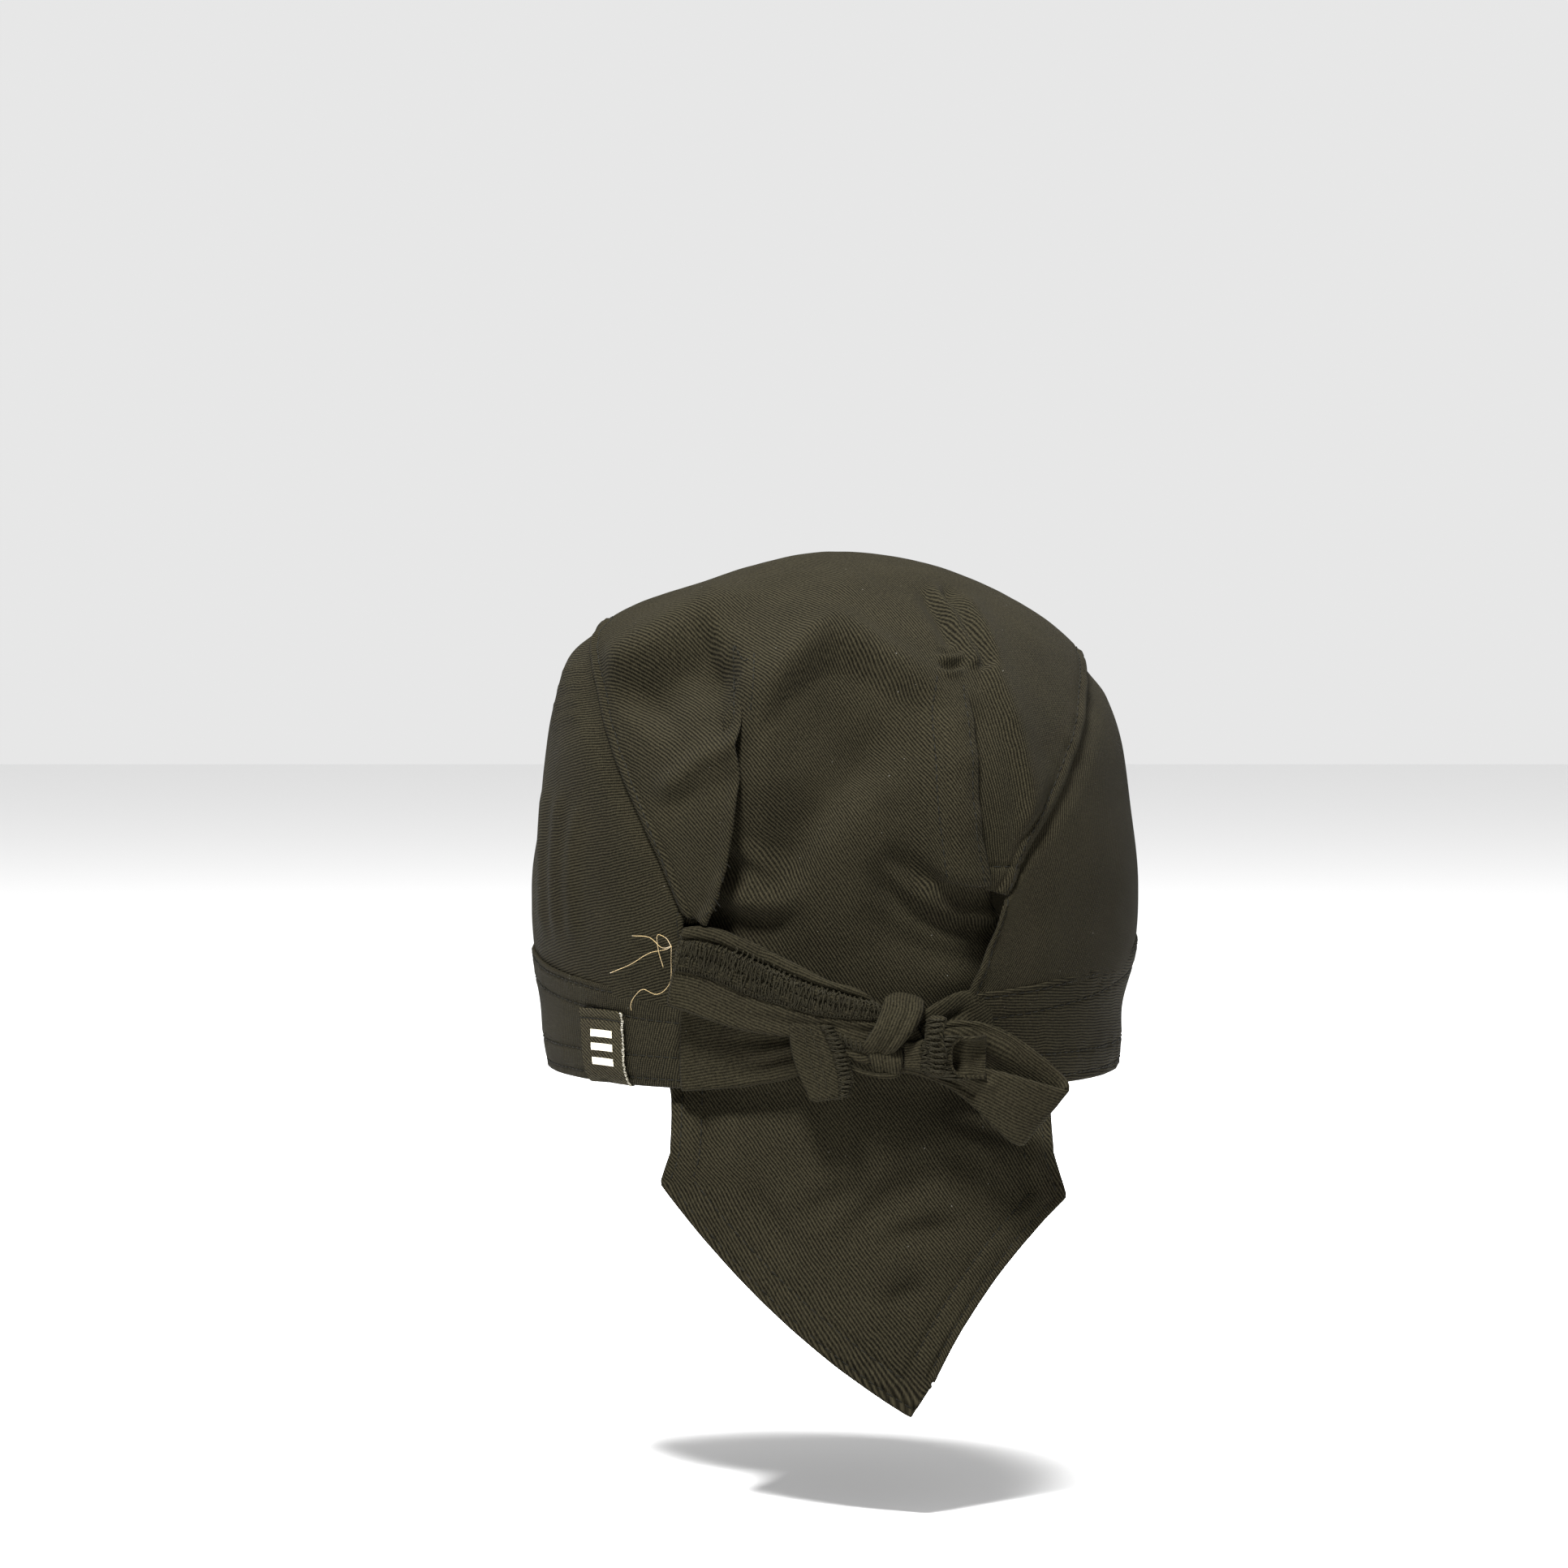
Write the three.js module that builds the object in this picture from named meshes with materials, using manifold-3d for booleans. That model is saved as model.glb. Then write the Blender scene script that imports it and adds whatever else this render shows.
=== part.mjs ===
// A cook's skull cap of black cotton twill: a domed crown, a headband that opens at the back,
// two ties knotted over the opening and a pointed tail that hangs out below them.
//
// Millimetres. +Z is up, +Y is the way the wearer faces and +X is the wearer's right. The origin is
// the middle of the opening for the head, level with the headband's lower edge. Azimuths are in
// degrees about the vertical axis: 0 at the nape, 90 on the right, 180 at the forehead.
import * as THREE from "three";
import { mergeVertices } from "three/addons/utils/BufferGeometryUtils.js";
import Module from "manifold-3d";

// ---- Driving dimensions ----
const CLOTH = 1.2; // one turned and stitched layer of cloth
const BAND_CLOTH = 1.4; // the headband, folded double
const SWEATBAND_CLOTH = 1.0;
const STRAP_CLOTH = 1.8; // a tie, sewn as a flat tube
const PLAY = 0.4; // clearance between neighbouring pieces
const SEAM_PLAY = 0.8; // how far the side panels' upper edges lie below the crown's seams

const HUB_HEIGHT = 50; // the outline's radii are measured from this height on the axis
const CROWN_HEIGHT = 149.5;

// Half outlines of the cap, from the opening to the top of the crown: [distance from the axis, height].
const RIGHT_OUTLINE = [
  [82.5, 0], [83.5, 18], [87.5, 34], [88.5, 52], [86, 76],
  [81, 103], [70, 122], [51, 136.5], [28, 146], [0, CROWN_HEIGHT],
];
const LEFT_OUTLINE = [
  [83.5, 0], [85.5, 18], [88, 34], [88.5, 50], [86, 76],
  [82.5, 104], [76, 122], [63, 131.5], [37, 141], [0, CROWN_HEIGHT],
];
const BACK_OUTLINE = [
  [100, 0], [101, 18], [103.5, 34], [106, 52], [106, 76],
  [98, 102], [83, 121], [60, 136], [31, 146], [0, CROWN_HEIGHT],
];
const FRONT_OUTLINE = [
  [101, 0], [102, 18], [103.5, 34], [103, 60], [96, 90],
  [83, 113], [63, 131], [32, 145], [0, CROWN_HEIGHT],
];

// The headband: its height at the forehead, its dip towards the ties and how much lower it sits on the left.
const BAND_FRONT = 40.5;
const BAND_DIP = 14.5;
const BAND_LEFT_DROP = 3.5;
const BAND_RIGHT_END = 22.5; // azimuths of the ends that the ties are sewn into
const BAND_LEFT_END = 336.5;

// The seams between the crown and the side panels, from the nape to the forehead: [azimuth, height].
const RIGHT_FOOT = 152; // azimuths where the seams meet the headband
const LEFT_FOOT = -152;
const RIGHT_SEAM = [
  [28, 54], [32, 67], [39.5, 80], [49, 94], [61, 107.5], [75, 116],
  [90, 118.5], [108, 113], [126, 97], [140, 72], [149, 50], [RIGHT_FOOT, 40],
];
const LEFT_SEAM = [
  [-25, 49], [-31, 69], [-40, 88], [-52, 107], [-64, 119], [-78, 127],
  [-92, 128], [-110, 121], [-127, 102], [-140, 74], [-149, 50], [LEFT_FOOT, 38.4],
];

// The opening in the back of the crown, seen from behind: [x, z] up the left edge, then up the right.
const LEFT_SLIT = [[-46, -16], [-45, 5], [-42.5, 30], [-36, 50], [-30.5, 75], [-28, 100], [-27.6, 117.4]];
const RIGHT_SLIT = [[59.5, -16], [58, 5], [50, 30], [41, 52], [36.6, 75], [35.2, 95], [33.4, 112.4]];
const BROW_RISE = 10.2; // how far the brow over the opening rises between the tops of the slits
const SLIT_PLAY = 0.5;

const NAPE_INSET = 6; // how far inside the headband the back panel runs
const RECESS = 16; // how deep the back panel hangs in between the slits

// The tail, seen from behind.
const TAIL_TOP = -18.2; // where it bends away from the part that the ties hold
const TAIL_LEFT_CORNER = [-48.8, -26.4];
const TAIL_RIGHT_CORNER = [63.2, -30.4];
const TAIL_TIP = [20, -90];
const TAIL_TIP_RIGHT = [26.7, -79.9];
const TAIL_LEFT_PULL = [-18, -67]; // the points that the lower edges bow towards
const TAIL_RIGHT_PULL = [41, -51];
const TAIL_REACH = -95; // y of the tail's middle at its top
const TAIL_BOW = 0.0025; // how far the sides curve forward, per square millimetre
const TAIL_FLARE = 6; // how far the tip stands out behind its top

// ---- Geometry helpers ----
const wasm = await Module();
wasm.setup();

const { degToRad, lerp, smoothstep } = THREE.MathUtils;
const point = (x, y, z) => new THREE.Vector3(x, y, z);
const HUB = point(0, 0, HUB_HEIGHT);

// A smooth curve y(x) through [x, y] pairs, as cubic spans.
function smoothCurve(pairs, flatEnd = false) {
  const slope = (k) => {
    if (flatEnd && k === pairs.length - 1) return 0;
    const [a, b] = [pairs[Math.max(k - 1, 0)], pairs[Math.min(k + 1, pairs.length - 1)]];
    return (b[1] - a[1]) / (b[0] - a[0]);
  };
  return (x) => {
    let k = 0;
    while (k < pairs.length - 2 && x > pairs[k + 1][0]) k += 1;
    const [[x0, y0], [x1, y1]] = [pairs[k], pairs[k + 1]];
    const span = x1 - x0;
    const t = THREE.MathUtils.clamp((x - x0) / span, 0, 1);
    const [start, end] = [slope(k) * span, slope(k + 1) * span];
    return (
      y0 * (1 + 2 * t) * (1 - t) ** 2 +
      start * t * (1 - t) ** 2 +
      y1 * t * t * (3 - 2 * t) -
      end * t * t * (1 - t)
    );
  };
}

// An outline as the distance from the hub over the elevation above it, in radians.
const reach = (outline) =>
  smoothCurve(
    outline.map(([out, height]) => [
      Math.atan2(height - HUB_HEIGHT, out),
      Math.hypot(out, height - HUB_HEIGHT),
    ]),
    true,
  );
const [rightReach, leftReach, backReach, frontReach] =
  [RIGHT_OUTLINE, LEFT_OUTLINE, BACK_OUTLINE, FRONT_OUTLINE].map(reach);

// The point of the cap's outer surface in a direction from the hub.
function onCap(direction) {
  const d = direction.clone().normalize();
  const elevation = Math.asin(d.z);
  const level = d.x * d.x + d.y * d.y;
  const sideways = level > 1e-12 ? (d.x * d.x) / level : 0;
  const side = (d.x > 0 ? rightReach : leftReach)(elevation);
  const end = (d.y > 0 ? frontReach : backReach)(elevation);
  return HUB.clone().addScaledVector(d, side * sideways + end * (1 - sideways));
}

// The point of the outer surface at an azimuth and a height.
function capAt(azimuth, height) {
  const a = degToRad(azimuth);
  let [low, high] = [-1.2, Math.PI / 2];
  let found = HUB;
  for (let step = 0; step < 40; step += 1) {
    const middle = (low + high) / 2;
    found = onCap(point(Math.sin(a) * Math.cos(middle), -Math.cos(a) * Math.cos(middle), Math.sin(middle)));
    if (found.z < height) low = middle;
    else high = middle;
  }
  return found;
}

// y of the outer surface behind the hub, at a place seen from behind.
function backOfCap(x, z) {
  let [low, high] = [-140, -1];
  for (let step = 0; step < 40; step += 1) {
    const middle = (low + high) / 2;
    const out = point(x, middle, z);
    if (out.distanceTo(HUB) > onCap(out.clone().sub(HUB)).distanceTo(HUB)) low = middle;
    else high = middle;
  }
  return low;
}

// Bends a unit box into a sheet: place(across, along) is its outer face, and it is thickened behind that.
function sheet(place, thickness, columns, rows) {
  const box = new THREE.BoxGeometry(1, 1, 1, columns, rows, 1);
  const spots = box.attributes.position;
  const nudge = 1e-3;
  for (let k = 0; k < spots.count; k += 1) {
    const across = spots.getX(k) + 0.5;
    const along = spots.getY(k) + 0.5;
    const spot = place(across, along);
    if (spots.getZ(k) < 0) {
      const [left, right] = [Math.max(across - nudge, 0), Math.min(across + nudge, 1)];
      const [low, high] = [Math.max(along - nudge, 0), Math.min(along + nudge, 1)];
      const sideways = place(right, along).sub(place(left, along));
      const upwards = place(across, high).sub(place(across, low));
      spot.addScaledVector(sideways.cross(upwards).normalize(), -thickness);
    }
    spots.setXYZ(k, spot.x, spot.y, spot.z);
  }
  return box;
}

// A strip of cloth between two edges, each a smooth curve through its points.
function strip(lowerEdge, upperEdge, thickness, columns, rows = 2) {
  const [lower, upper] = [lowerEdge, upperEdge].map(
    (edge) => new THREE.CatmullRomCurve3(edge.map((p) => point(...p)), false, "centripetal"),
  );
  const place = (across, along) => lower.getPoint(across).lerp(upper.getPoint(across), along);
  return sheet(place, thickness, columns, rows);
}

function solidOf(geometry) {
  const bare = geometry.clone().deleteAttribute("normal").deleteAttribute("uv");
  const merged = mergeVertices(bare, 1e-4);
  return new wasm.Manifold(
    new wasm.Mesh({
      numProp: 3,
      vertProperties: new Float32Array(merged.attributes.position.array),
      triVerts: new Uint32Array(merged.index.array),
    }),
  );
}

function cutAway(geometry, tool) {
  const left = solidOf(geometry).subtract(solidOf(tool)).getMesh();
  return new THREE.BufferGeometry()
    .setAttribute("position", new THREE.BufferAttribute(new Float32Array(left.vertProperties), 3))
    .setIndex(new THREE.BufferAttribute(new Uint32Array(left.triVerts), 1));
}

// ---- Shared shapes ----
function bandTop(azimuth) {
  const a = degToRad(azimuth);
  const behind = (1 + Math.cos(a)) / 2;
  return BAND_FRONT - BAND_DIP * behind ** 2 - (BAND_LEFT_DROP * (1 - Math.sin(a))) / 2;
}

const seamCurve = (seam) =>
  new THREE.CatmullRomCurve3(seam.map(([azimuth, height]) => capAt(azimuth, height)), false, "centripetal");
const rightSeam = seamCurve(RIGHT_SEAM);
const leftSeam = seamCurve(LEFT_SEAM);
const fromHub = (spot) => spot.clone().sub(HUB).normalize();

// The direction part of the way round the shortest arc between two directions.
function between(from, to, share) {
  const turn = new THREE.Quaternion().setFromUnitVectors(from, to);
  return from.clone().applyQuaternion(new THREE.Quaternion().slerp(turn, share));
}

const heightFirst = (edge) => edge.map(([x, z]) => [z, x]);
const leftSlit = smoothCurve(heightFirst(LEFT_SLIT));
const rightSlit = smoothCurve(heightFirst(RIGHT_SLIT));
const slitTop = (edge) => edge[edge.length - 1];

// ---- The crown ----
function crownPanel() {
  const arc = (across, along) =>
    between(fromHub(leftSeam.getPoint(along)), fromHub(rightSeam.getPoint(along)), across);
  const place = (across, along) => {
    const azimuth = lerp(360 + LEFT_FOOT, RIGHT_FOOT, across);
    const brim = fromHub(capAt(azimuth, bandTop(azimuth) + PLAY));
    return onCap(arc(across, along).addScaledVector(brim.sub(arc(across, 1)), along ** 6));
  };
  return cutAway(sheet(place, CLOTH, 20, 22), openingTool());
}

// The opening's outline, run through the back of the crown.
function openingTool() {
  const [leftTop, rightTop] = [slitTop(LEFT_SLIT), slitTop(RIGHT_SLIT)];
  const [foot, steps, browSteps] = [36, 6, 10];
  const spots = [];
  for (let k = 0; k <= steps; k += 1) {
    const z = lerp(foot, rightTop[1], k / steps);
    spots.push(new THREE.Vector2(rightSlit(z) + SLIT_PLAY, z));
  }
  for (let k = 0; k <= browSteps; k += 1) {
    const share = 1 - k / browSteps;
    const rise = BROW_RISE * 4 * share * (1 - share);
    spots.push(
      new THREE.Vector2(
        lerp(leftTop[0] - SLIT_PLAY, rightTop[0] + SLIT_PLAY, share),
        lerp(leftTop[1], rightTop[1], share) + rise + SLIT_PLAY,
      ),
    );
  }
  for (let k = steps; k >= 0; k -= 1) {
    const z = lerp(foot, leftTop[1], k / steps);
    spots.push(new THREE.Vector2(leftSlit(z) - SLIT_PLAY, z));
  }
  const depth = 110;
  return new THREE.ExtrudeGeometry(new THREE.Shape(spots), { depth, bevelEnabled: false })
    .rotateX(Math.PI / 2)
    .translate(0, -20, 0);
}

// The part of the crown's cloth that drops in between the slits and runs down inside the headband.
function backPanel() {
  const [leftTop, rightTop] = [slitTop(LEFT_SLIT), slitTop(RIGHT_SLIT)];
  const foot = LEFT_SLIT[0][1];
  const place = (across, along) => {
    const level = lerp(lerp(foot, leftTop[1], along), lerp(foot, rightTop[1], along), across);
    const x = lerp(leftSlit(level), rightSlit(level), across);
    const z = level + BROW_RISE * 4 * across * (1 - across) * along ** 4;
    const hollow = RECESS * smoothstep(z, 15, 75) * (1 - smoothstep(z, 95, 124)) * Math.sin(Math.PI * across);
    const inset = NAPE_INSET * (1 - smoothstep(z, 48, 90)) + Math.max(hollow, 0);
    const held = backOfCap(x, Math.max(z, 0)) + inset;
    return point(x, lerp(tailDepth(x, TAIL_TOP), held, smoothstep(z, TAIL_TOP, 0)), z);
  };
  return sheet(place, CLOTH, 10, 18);
}

function sidePanel(seam, bandEnd, seamFoot) {
  const [columns, rows, tip] = [20, 6, 0.975];
  const right = seamFoot > 0;
  const place = (across, along) => {
    const forward = tip * (right ? across : 1 - across);
    const foot = lerp(bandEnd, seamFoot, forward);
    const low = capAt(foot, bandTop(foot) + PLAY);
    const high = seam.getPoint(forward);
    high.z -= SEAM_PLAY;
    return onCap(between(fromHub(low), fromHub(high), along));
  };
  return sheet(place, CLOTH, columns, rows);
}

// ---- The headband and what lines it ----
function headband() {
  const place = (across, along) => {
    const azimuth = lerp(BAND_RIGHT_END, BAND_LEFT_END, across);
    return capAt(azimuth, bandTop(azimuth) * along);
  };
  return sheet(place, BAND_CLOTH, 48, 3);
}

function sweatband() {
  const [setBack, hem, drop] = [3, 1.5, 4];
  const inset = BAND_CLOTH + 2 * PLAY;
  const place = (across, along) => {
    const azimuth = lerp(BAND_RIGHT_END + setBack, BAND_LEFT_END - setBack, across);
    const spot = capAt(azimuth, lerp(hem, bandTop(azimuth) - drop, along));
    const shrink = 1 - inset / Math.hypot(spot.x, spot.y);
    return point(spot.x * shrink, spot.y * shrink, spot.z);
  };
  return sheet(place, SWEATBAND_CLOTH, 48, 3);
}

// The woven label, folded under the headband's lower edge.
function wovenLabel() {
  const [left, right, top, foldDepth, backRise, standOff] = [-51.5, -38.5, 20, -1.2, 3, 0.3];
  const thickness = 0.5;
  const sideOf = (azimuth, height, out) => {
    const spot = capAt(azimuth, Math.max(height, 0));
    const grow = 1 + out / Math.hypot(spot.x, spot.y);
    return point(spot.x * grow, spot.y * grow, height);
  };
  const place = (across, along) => {
    const azimuth = lerp(left, right, across);
    const backOut = -BAND_CLOTH - standOff - thickness;
    const path = [[backOut, -backRise * 0.2], [backOut * 0.6, foldDepth], [0, foldDepth], [standOff + thickness, 1]];
    const leg = 3 / 8;
    if (along >= leg) return sideOf(azimuth, lerp(1, top, (along - leg) / (1 - leg)), standOff + thickness);
    const k = Math.min(Math.floor((along / leg) * 3), 2);
    const share = (along / leg) * 3 - k;
    return sideOf(azimuth, lerp(path[k][1], path[k + 1][1], share), lerp(path[k][0], path[k + 1][0], share));
  };
  return sheet(place, thickness, 4, 8);
}

// ---- The tail ----
function tailDepth(x, z) {
  const down = THREE.MathUtils.clamp((TAIL_TOP - z) / (TAIL_TOP - TAIL_TIP[1]), 0, 1);
  return TAIL_REACH + TAIL_BOW * x * x * (1 - 0.5 * down) - TAIL_FLARE * down;
}

function tailFlap() {
  const bow = (from, pull, to) =>
    new THREE.QuadraticBezierCurve(...[from, pull, to].map(([x, z]) => new THREE.Vector2(x, z)));
  const leftEdge = bow(TAIL_LEFT_CORNER, TAIL_LEFT_PULL, TAIL_TIP);
  const rightEdge = bow(TAIL_RIGHT_CORNER, TAIL_RIGHT_PULL, TAIL_TIP_RIGHT);
  const [rows, upperRows] = [9, 1];
  const share = upperRows / rows;
  const topLeft = new THREE.Vector2(LEFT_SLIT[0][0], TAIL_TOP);
  const topRight = new THREE.Vector2(RIGHT_SLIT[0][0], TAIL_TOP);
  const edgeAt = (top, corner, edge, down) =>
    down < share
      ? top.clone().lerp(new THREE.Vector2(...corner), down / share)
      : edge.getPoint((down - share) / (1 - share));
  const place = (across, along) => {
    const left = edgeAt(topLeft, TAIL_LEFT_CORNER, leftEdge, 1 - along);
    const right = edgeAt(topRight, TAIL_RIGHT_CORNER, rightEdge, 1 - along);
    const spot = left.lerp(right, across);
    return point(spot.x, tailDepth(spot.x, spot.y), spot.y);
  };
  return sheet(place, CLOTH, 10, rows);
}

// ---- The ties: each strap runs to the knot, and its loose end comes out of the other side ----
const leftTie = () =>
  strip(
    [[-38.7, -91.2, 0.3], [-18, -98.5, 3.2], [0.8, -104, 10.5]],
    [[-38.7, -91.2, 24.2], [-18, -98.5, 24.5], [0.8, -104, 21]],
    STRAP_CLOTH, 8,
  );

const rightTie = () =>
  strip(
    [[22.4, -103.5, 11.5], [30, -98.2, 6], [38.1, -92, 1]],
    [[22.4, -103.5, 21.5], [30, -98.2, 24], [38.1, -92, 25.4]],
    STRAP_CLOTH, 6,
  );

const knotCore = () =>
  new THREE.SphereGeometry(1, 16, 10).scale(9.6, 3.7, 8).translate(11.4, -102.4, 15.8);

const knotWrap = () =>
  strip(
    [[1.6, -109.2, 14], [6, -112, 9.6], [11.5, -109.2, 5.5]],
    [[10, -109.2, 26.5], [15.5, -112.6, 25.6], [21.2, -109.2, 21.5]],
    2.6, 8, 5,
  );

const longEnd = () =>
  strip(
    [[-46, -98, 23], [-22, -105.5, 17.5], [-0.2, -108.8, 13.6]],
    [[-41.5, -98, 43.5], [-20, -105.5, 36], [-0.2, -108.8, 27.5]],
    STRAP_CLOTH, 8,
  );

const shortEnd = () =>
  strip(
    [[-8.5, -107.4, -3], [-3, -108, -1], [0.2, -108, 1.5]],
    [[-14, -105.8, 12], [-6, -106.6, 12], [0.2, -106.8, 11.8]],
    STRAP_CLOTH, 4, 3,
  );

const bowLoop = () =>
  strip(
    [[22.6, -106.6, 4.5], [36, -107.5, -4], [48.5, -106, -12.6], [52, -102, -12.4], [48, -99.4, -8], [36, -100.2, 4]],
    [[22.6, -106.6, 12], [40, -107.5, 7.5], [58, -105, 1.5], [62, -101, 0.5], [58, -98.6, 5], [40, -99.4, 16]],
    CLOTH, 20,
  );

const cutEnd = () =>
  strip(
    [[22.6, -112.4, 9], [30, -115.4, 6.4], [36.8, -116.4, 5]],
    [[22.6, -112.4, 17.5], [30, -115.4, 21], [37.6, -116.4, 22.5]],
    3, 4,
  );

// ---- Materials ----
const cloth = (name, color, roughness) =>
  new THREE.MeshStandardMaterial({ name, color, roughness, metalness: 0, side: THREE.DoubleSide });
const twill = cloth("black_twill", 0x2b2a25, 0.92);
const bandTwill = cloth("band_twill", 0x282722, 0.92);
const lining = cloth("lining", 0x242320, 0.95);
const strapTwill = cloth("strap_twill", 0x292823, 0.92);
const labelWeave = cloth("label_weave", 0x35342f, 0.8);

// ---- Assembly ----
const cap = new THREE.Group();
const tail = new THREE.Group();
const ties = new THREE.Group();
cap.add(tail, ties);

function add(group, name, geometry, material) {
  const mesh = new THREE.Mesh(geometry, material);
  mesh.name = name;
  group.add(mesh);
}

add(cap, "crown_panel", crownPanel(), twill);
add(cap, "back_panel", backPanel(), twill);
add(cap, "right_side_panel", sidePanel(rightSeam, BAND_RIGHT_END, RIGHT_FOOT), twill);
add(cap, "left_side_panel", sidePanel(leftSeam, BAND_LEFT_END - 360, LEFT_FOOT), twill);
add(cap, "headband", headband(), bandTwill);
add(cap, "sweatband", sweatband(), lining);
add(cap, "woven_label", wovenLabel(), labelWeave);
add(tail, "tail_flap", tailFlap(), twill);
add(ties, "left_tie", leftTie(), strapTwill);
add(ties, "right_tie", rightTie(), strapTwill);
add(ties, "knot_core", knotCore(), strapTwill);
add(ties, "knot_wrap", knotWrap(), strapTwill);
add(ties, "long_tie_end", longEnd(), strapTwill);
add(ties, "short_tie_end", shortEnd(), strapTwill);
add(ties, "bow_loop", bowLoop(), strapTwill);
add(ties, "cut_tie_end", cutEnd(), strapTwill);

export default cap;
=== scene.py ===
import math

import bpy
import numpy as np
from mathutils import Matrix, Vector


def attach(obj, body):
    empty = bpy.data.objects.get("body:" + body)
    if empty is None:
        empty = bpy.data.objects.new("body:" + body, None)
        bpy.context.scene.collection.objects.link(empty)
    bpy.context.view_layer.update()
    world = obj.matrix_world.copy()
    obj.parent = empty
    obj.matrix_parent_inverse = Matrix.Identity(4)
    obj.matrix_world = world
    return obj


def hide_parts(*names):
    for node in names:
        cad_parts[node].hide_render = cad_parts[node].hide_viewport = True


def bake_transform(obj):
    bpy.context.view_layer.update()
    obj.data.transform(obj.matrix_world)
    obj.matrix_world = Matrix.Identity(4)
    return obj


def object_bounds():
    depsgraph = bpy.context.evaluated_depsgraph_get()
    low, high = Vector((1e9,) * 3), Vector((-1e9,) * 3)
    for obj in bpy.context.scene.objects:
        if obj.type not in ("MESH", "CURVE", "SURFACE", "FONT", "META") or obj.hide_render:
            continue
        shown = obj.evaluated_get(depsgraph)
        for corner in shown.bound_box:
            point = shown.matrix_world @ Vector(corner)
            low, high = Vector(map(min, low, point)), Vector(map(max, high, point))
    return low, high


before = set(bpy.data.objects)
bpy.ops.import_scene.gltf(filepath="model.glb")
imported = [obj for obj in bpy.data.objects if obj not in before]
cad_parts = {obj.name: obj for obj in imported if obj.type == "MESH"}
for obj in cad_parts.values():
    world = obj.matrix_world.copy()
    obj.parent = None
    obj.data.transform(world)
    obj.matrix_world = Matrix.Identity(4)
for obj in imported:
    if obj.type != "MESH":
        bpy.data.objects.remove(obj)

# A cook's skull cap of black cotton twill. Shapes are worked out in millimetres in the frame's own
# axes, with -Y at the wearer's nape, and MM turns them into metres as each mesh is made.
MM = 0.001
cad_box = [list(corner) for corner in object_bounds()]


# ---- Numbers and curves ----
def smoothstep(x, start, end):
    t = np.clip((x - start) / (end - start), 0, 1)
    return t * t * (3 - 2 * t)


def lerp(a, b, share):
    return a + (b - a) * share


def bell(x):
    """1 at 0, and close to 0 from about 2 on either side."""
    return np.exp(-(x ** 2))


def lengths_along(path):
    """The distance along a path at each of its points."""
    return np.r_[0, np.cumsum(np.linalg.norm(np.diff(path, axis=0), axis=1))]


def smooth_curve(pairs, flat_end=False):
    """y(x) through [x, y] pairs, as cubic spans."""
    xs, ys = np.array(pairs, float).T
    slopes = np.empty_like(xs)
    for k in range(len(xs)):
        low, high = max(k - 1, 0), min(k + 1, len(xs) - 1)
        slopes[k] = (ys[high] - ys[low]) / (xs[high] - xs[low])
    if flat_end:
        slopes[-1] = 0

    def value(x):
        x = np.asarray(x, float)
        k = np.clip(np.searchsorted(xs, x) - 1, 0, len(xs) - 2)
        span = xs[k + 1] - xs[k]
        t = np.clip((x - xs[k]) / span, 0, 1)
        start, end = slopes[k] * span, slopes[k + 1] * span
        rise = ys[k] * (1 + 2 * t) * (1 - t) ** 2 + ys[k + 1] * t * t * (3 - 2 * t)
        return rise + start * t * (1 - t) ** 2 - end * t * t * (1 - t)

    return value


def smooth_path(points, count):
    """count points along a smooth curve through the given ones, evenly spread by length."""
    points = np.array(points, float)
    lengths = lengths_along(points)
    columns = [smooth_curve(np.c_[lengths, points[:, k]]) for k in range(points.shape[1])]
    spots = np.linspace(0, lengths[-1], count)
    return np.stack([column(spots) for column in columns], axis=1)


def noise(points, size, seed):
    """Smooth noise from -1 to 1 whose lumps are about size millimetres across."""
    p = np.asarray(points, float) / size + seed * 17.31
    cell = np.floor(p).astype(np.int64)
    t = p - cell
    t = t * t * (3 - 2 * t)
    total = 0
    for corner in range(8):
        step = np.array([corner & 1, corner >> 1 & 1, corner >> 2 & 1])
        at = cell + step
        mix = at[..., 0] * 374761393 + at[..., 1] * 668265263 + at[..., 2] * 2147483647 + seed * 97
        mix = (mix ^ (mix >> 13)) * 1274126177 & 0x7FFFFFFF
        mix = (mix ^ (mix >> 16)) & 0xFFFF
        weight = np.prod(np.where(step == 1, t, 1 - t), axis=-1)
        total = total + weight * (mix / 32767.5 - 1)
    return total


def near_path(x, z, path):
    """Signed distance from a path in the x-z plane, over 0 on its left, and the share of the way along."""
    spots = smooth_path(path, 8 * len(path))
    best = np.full(np.shape(x), 1e9)
    side = np.zeros(np.shape(x))
    along = np.zeros(np.shape(x))
    for k in range(len(spots) - 1):
        (ax, az), (bx, bz) = spots[k], spots[k + 1]
        dx, dz = bx - ax, bz - az
        t = np.clip(((x - ax) * dx + (z - az) * dz) / (dx * dx + dz * dz), 0, 1)
        gap = np.hypot(x - ax - t * dx, z - az - t * dz)
        closer = gap < best
        best = np.where(closer, gap, best)
        side = np.where(closer, dx * (z - az) - dz * (x - ax), side)
        along = np.where(closer, (k + t) / (len(spots) - 1), along)
    return best * np.where(side >= 0, 1, -1), along


def fold(x, z, path, height, left, right, ends):
    """A ridge along a path, or a valley if height is below 0; left and right are its flanks' widths."""
    gap, along = near_path(x, z, path)
    flank = np.where(gap > 0, left, right)
    fade = np.ones_like(along)
    if ends[0]:
        fade = fade * smoothstep(along, 0, ends[0])
    if ends[1]:
        fade = fade * (1 - smoothstep(along, 1 - ends[1], 1))
    return height * bell(gap / flank) * fade


def folds(x, z, table):
    """The sum of several folds; a row of the table has the arguments of fold from its path on."""
    return sum(fold(x, z, *row) for row in table)


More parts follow.
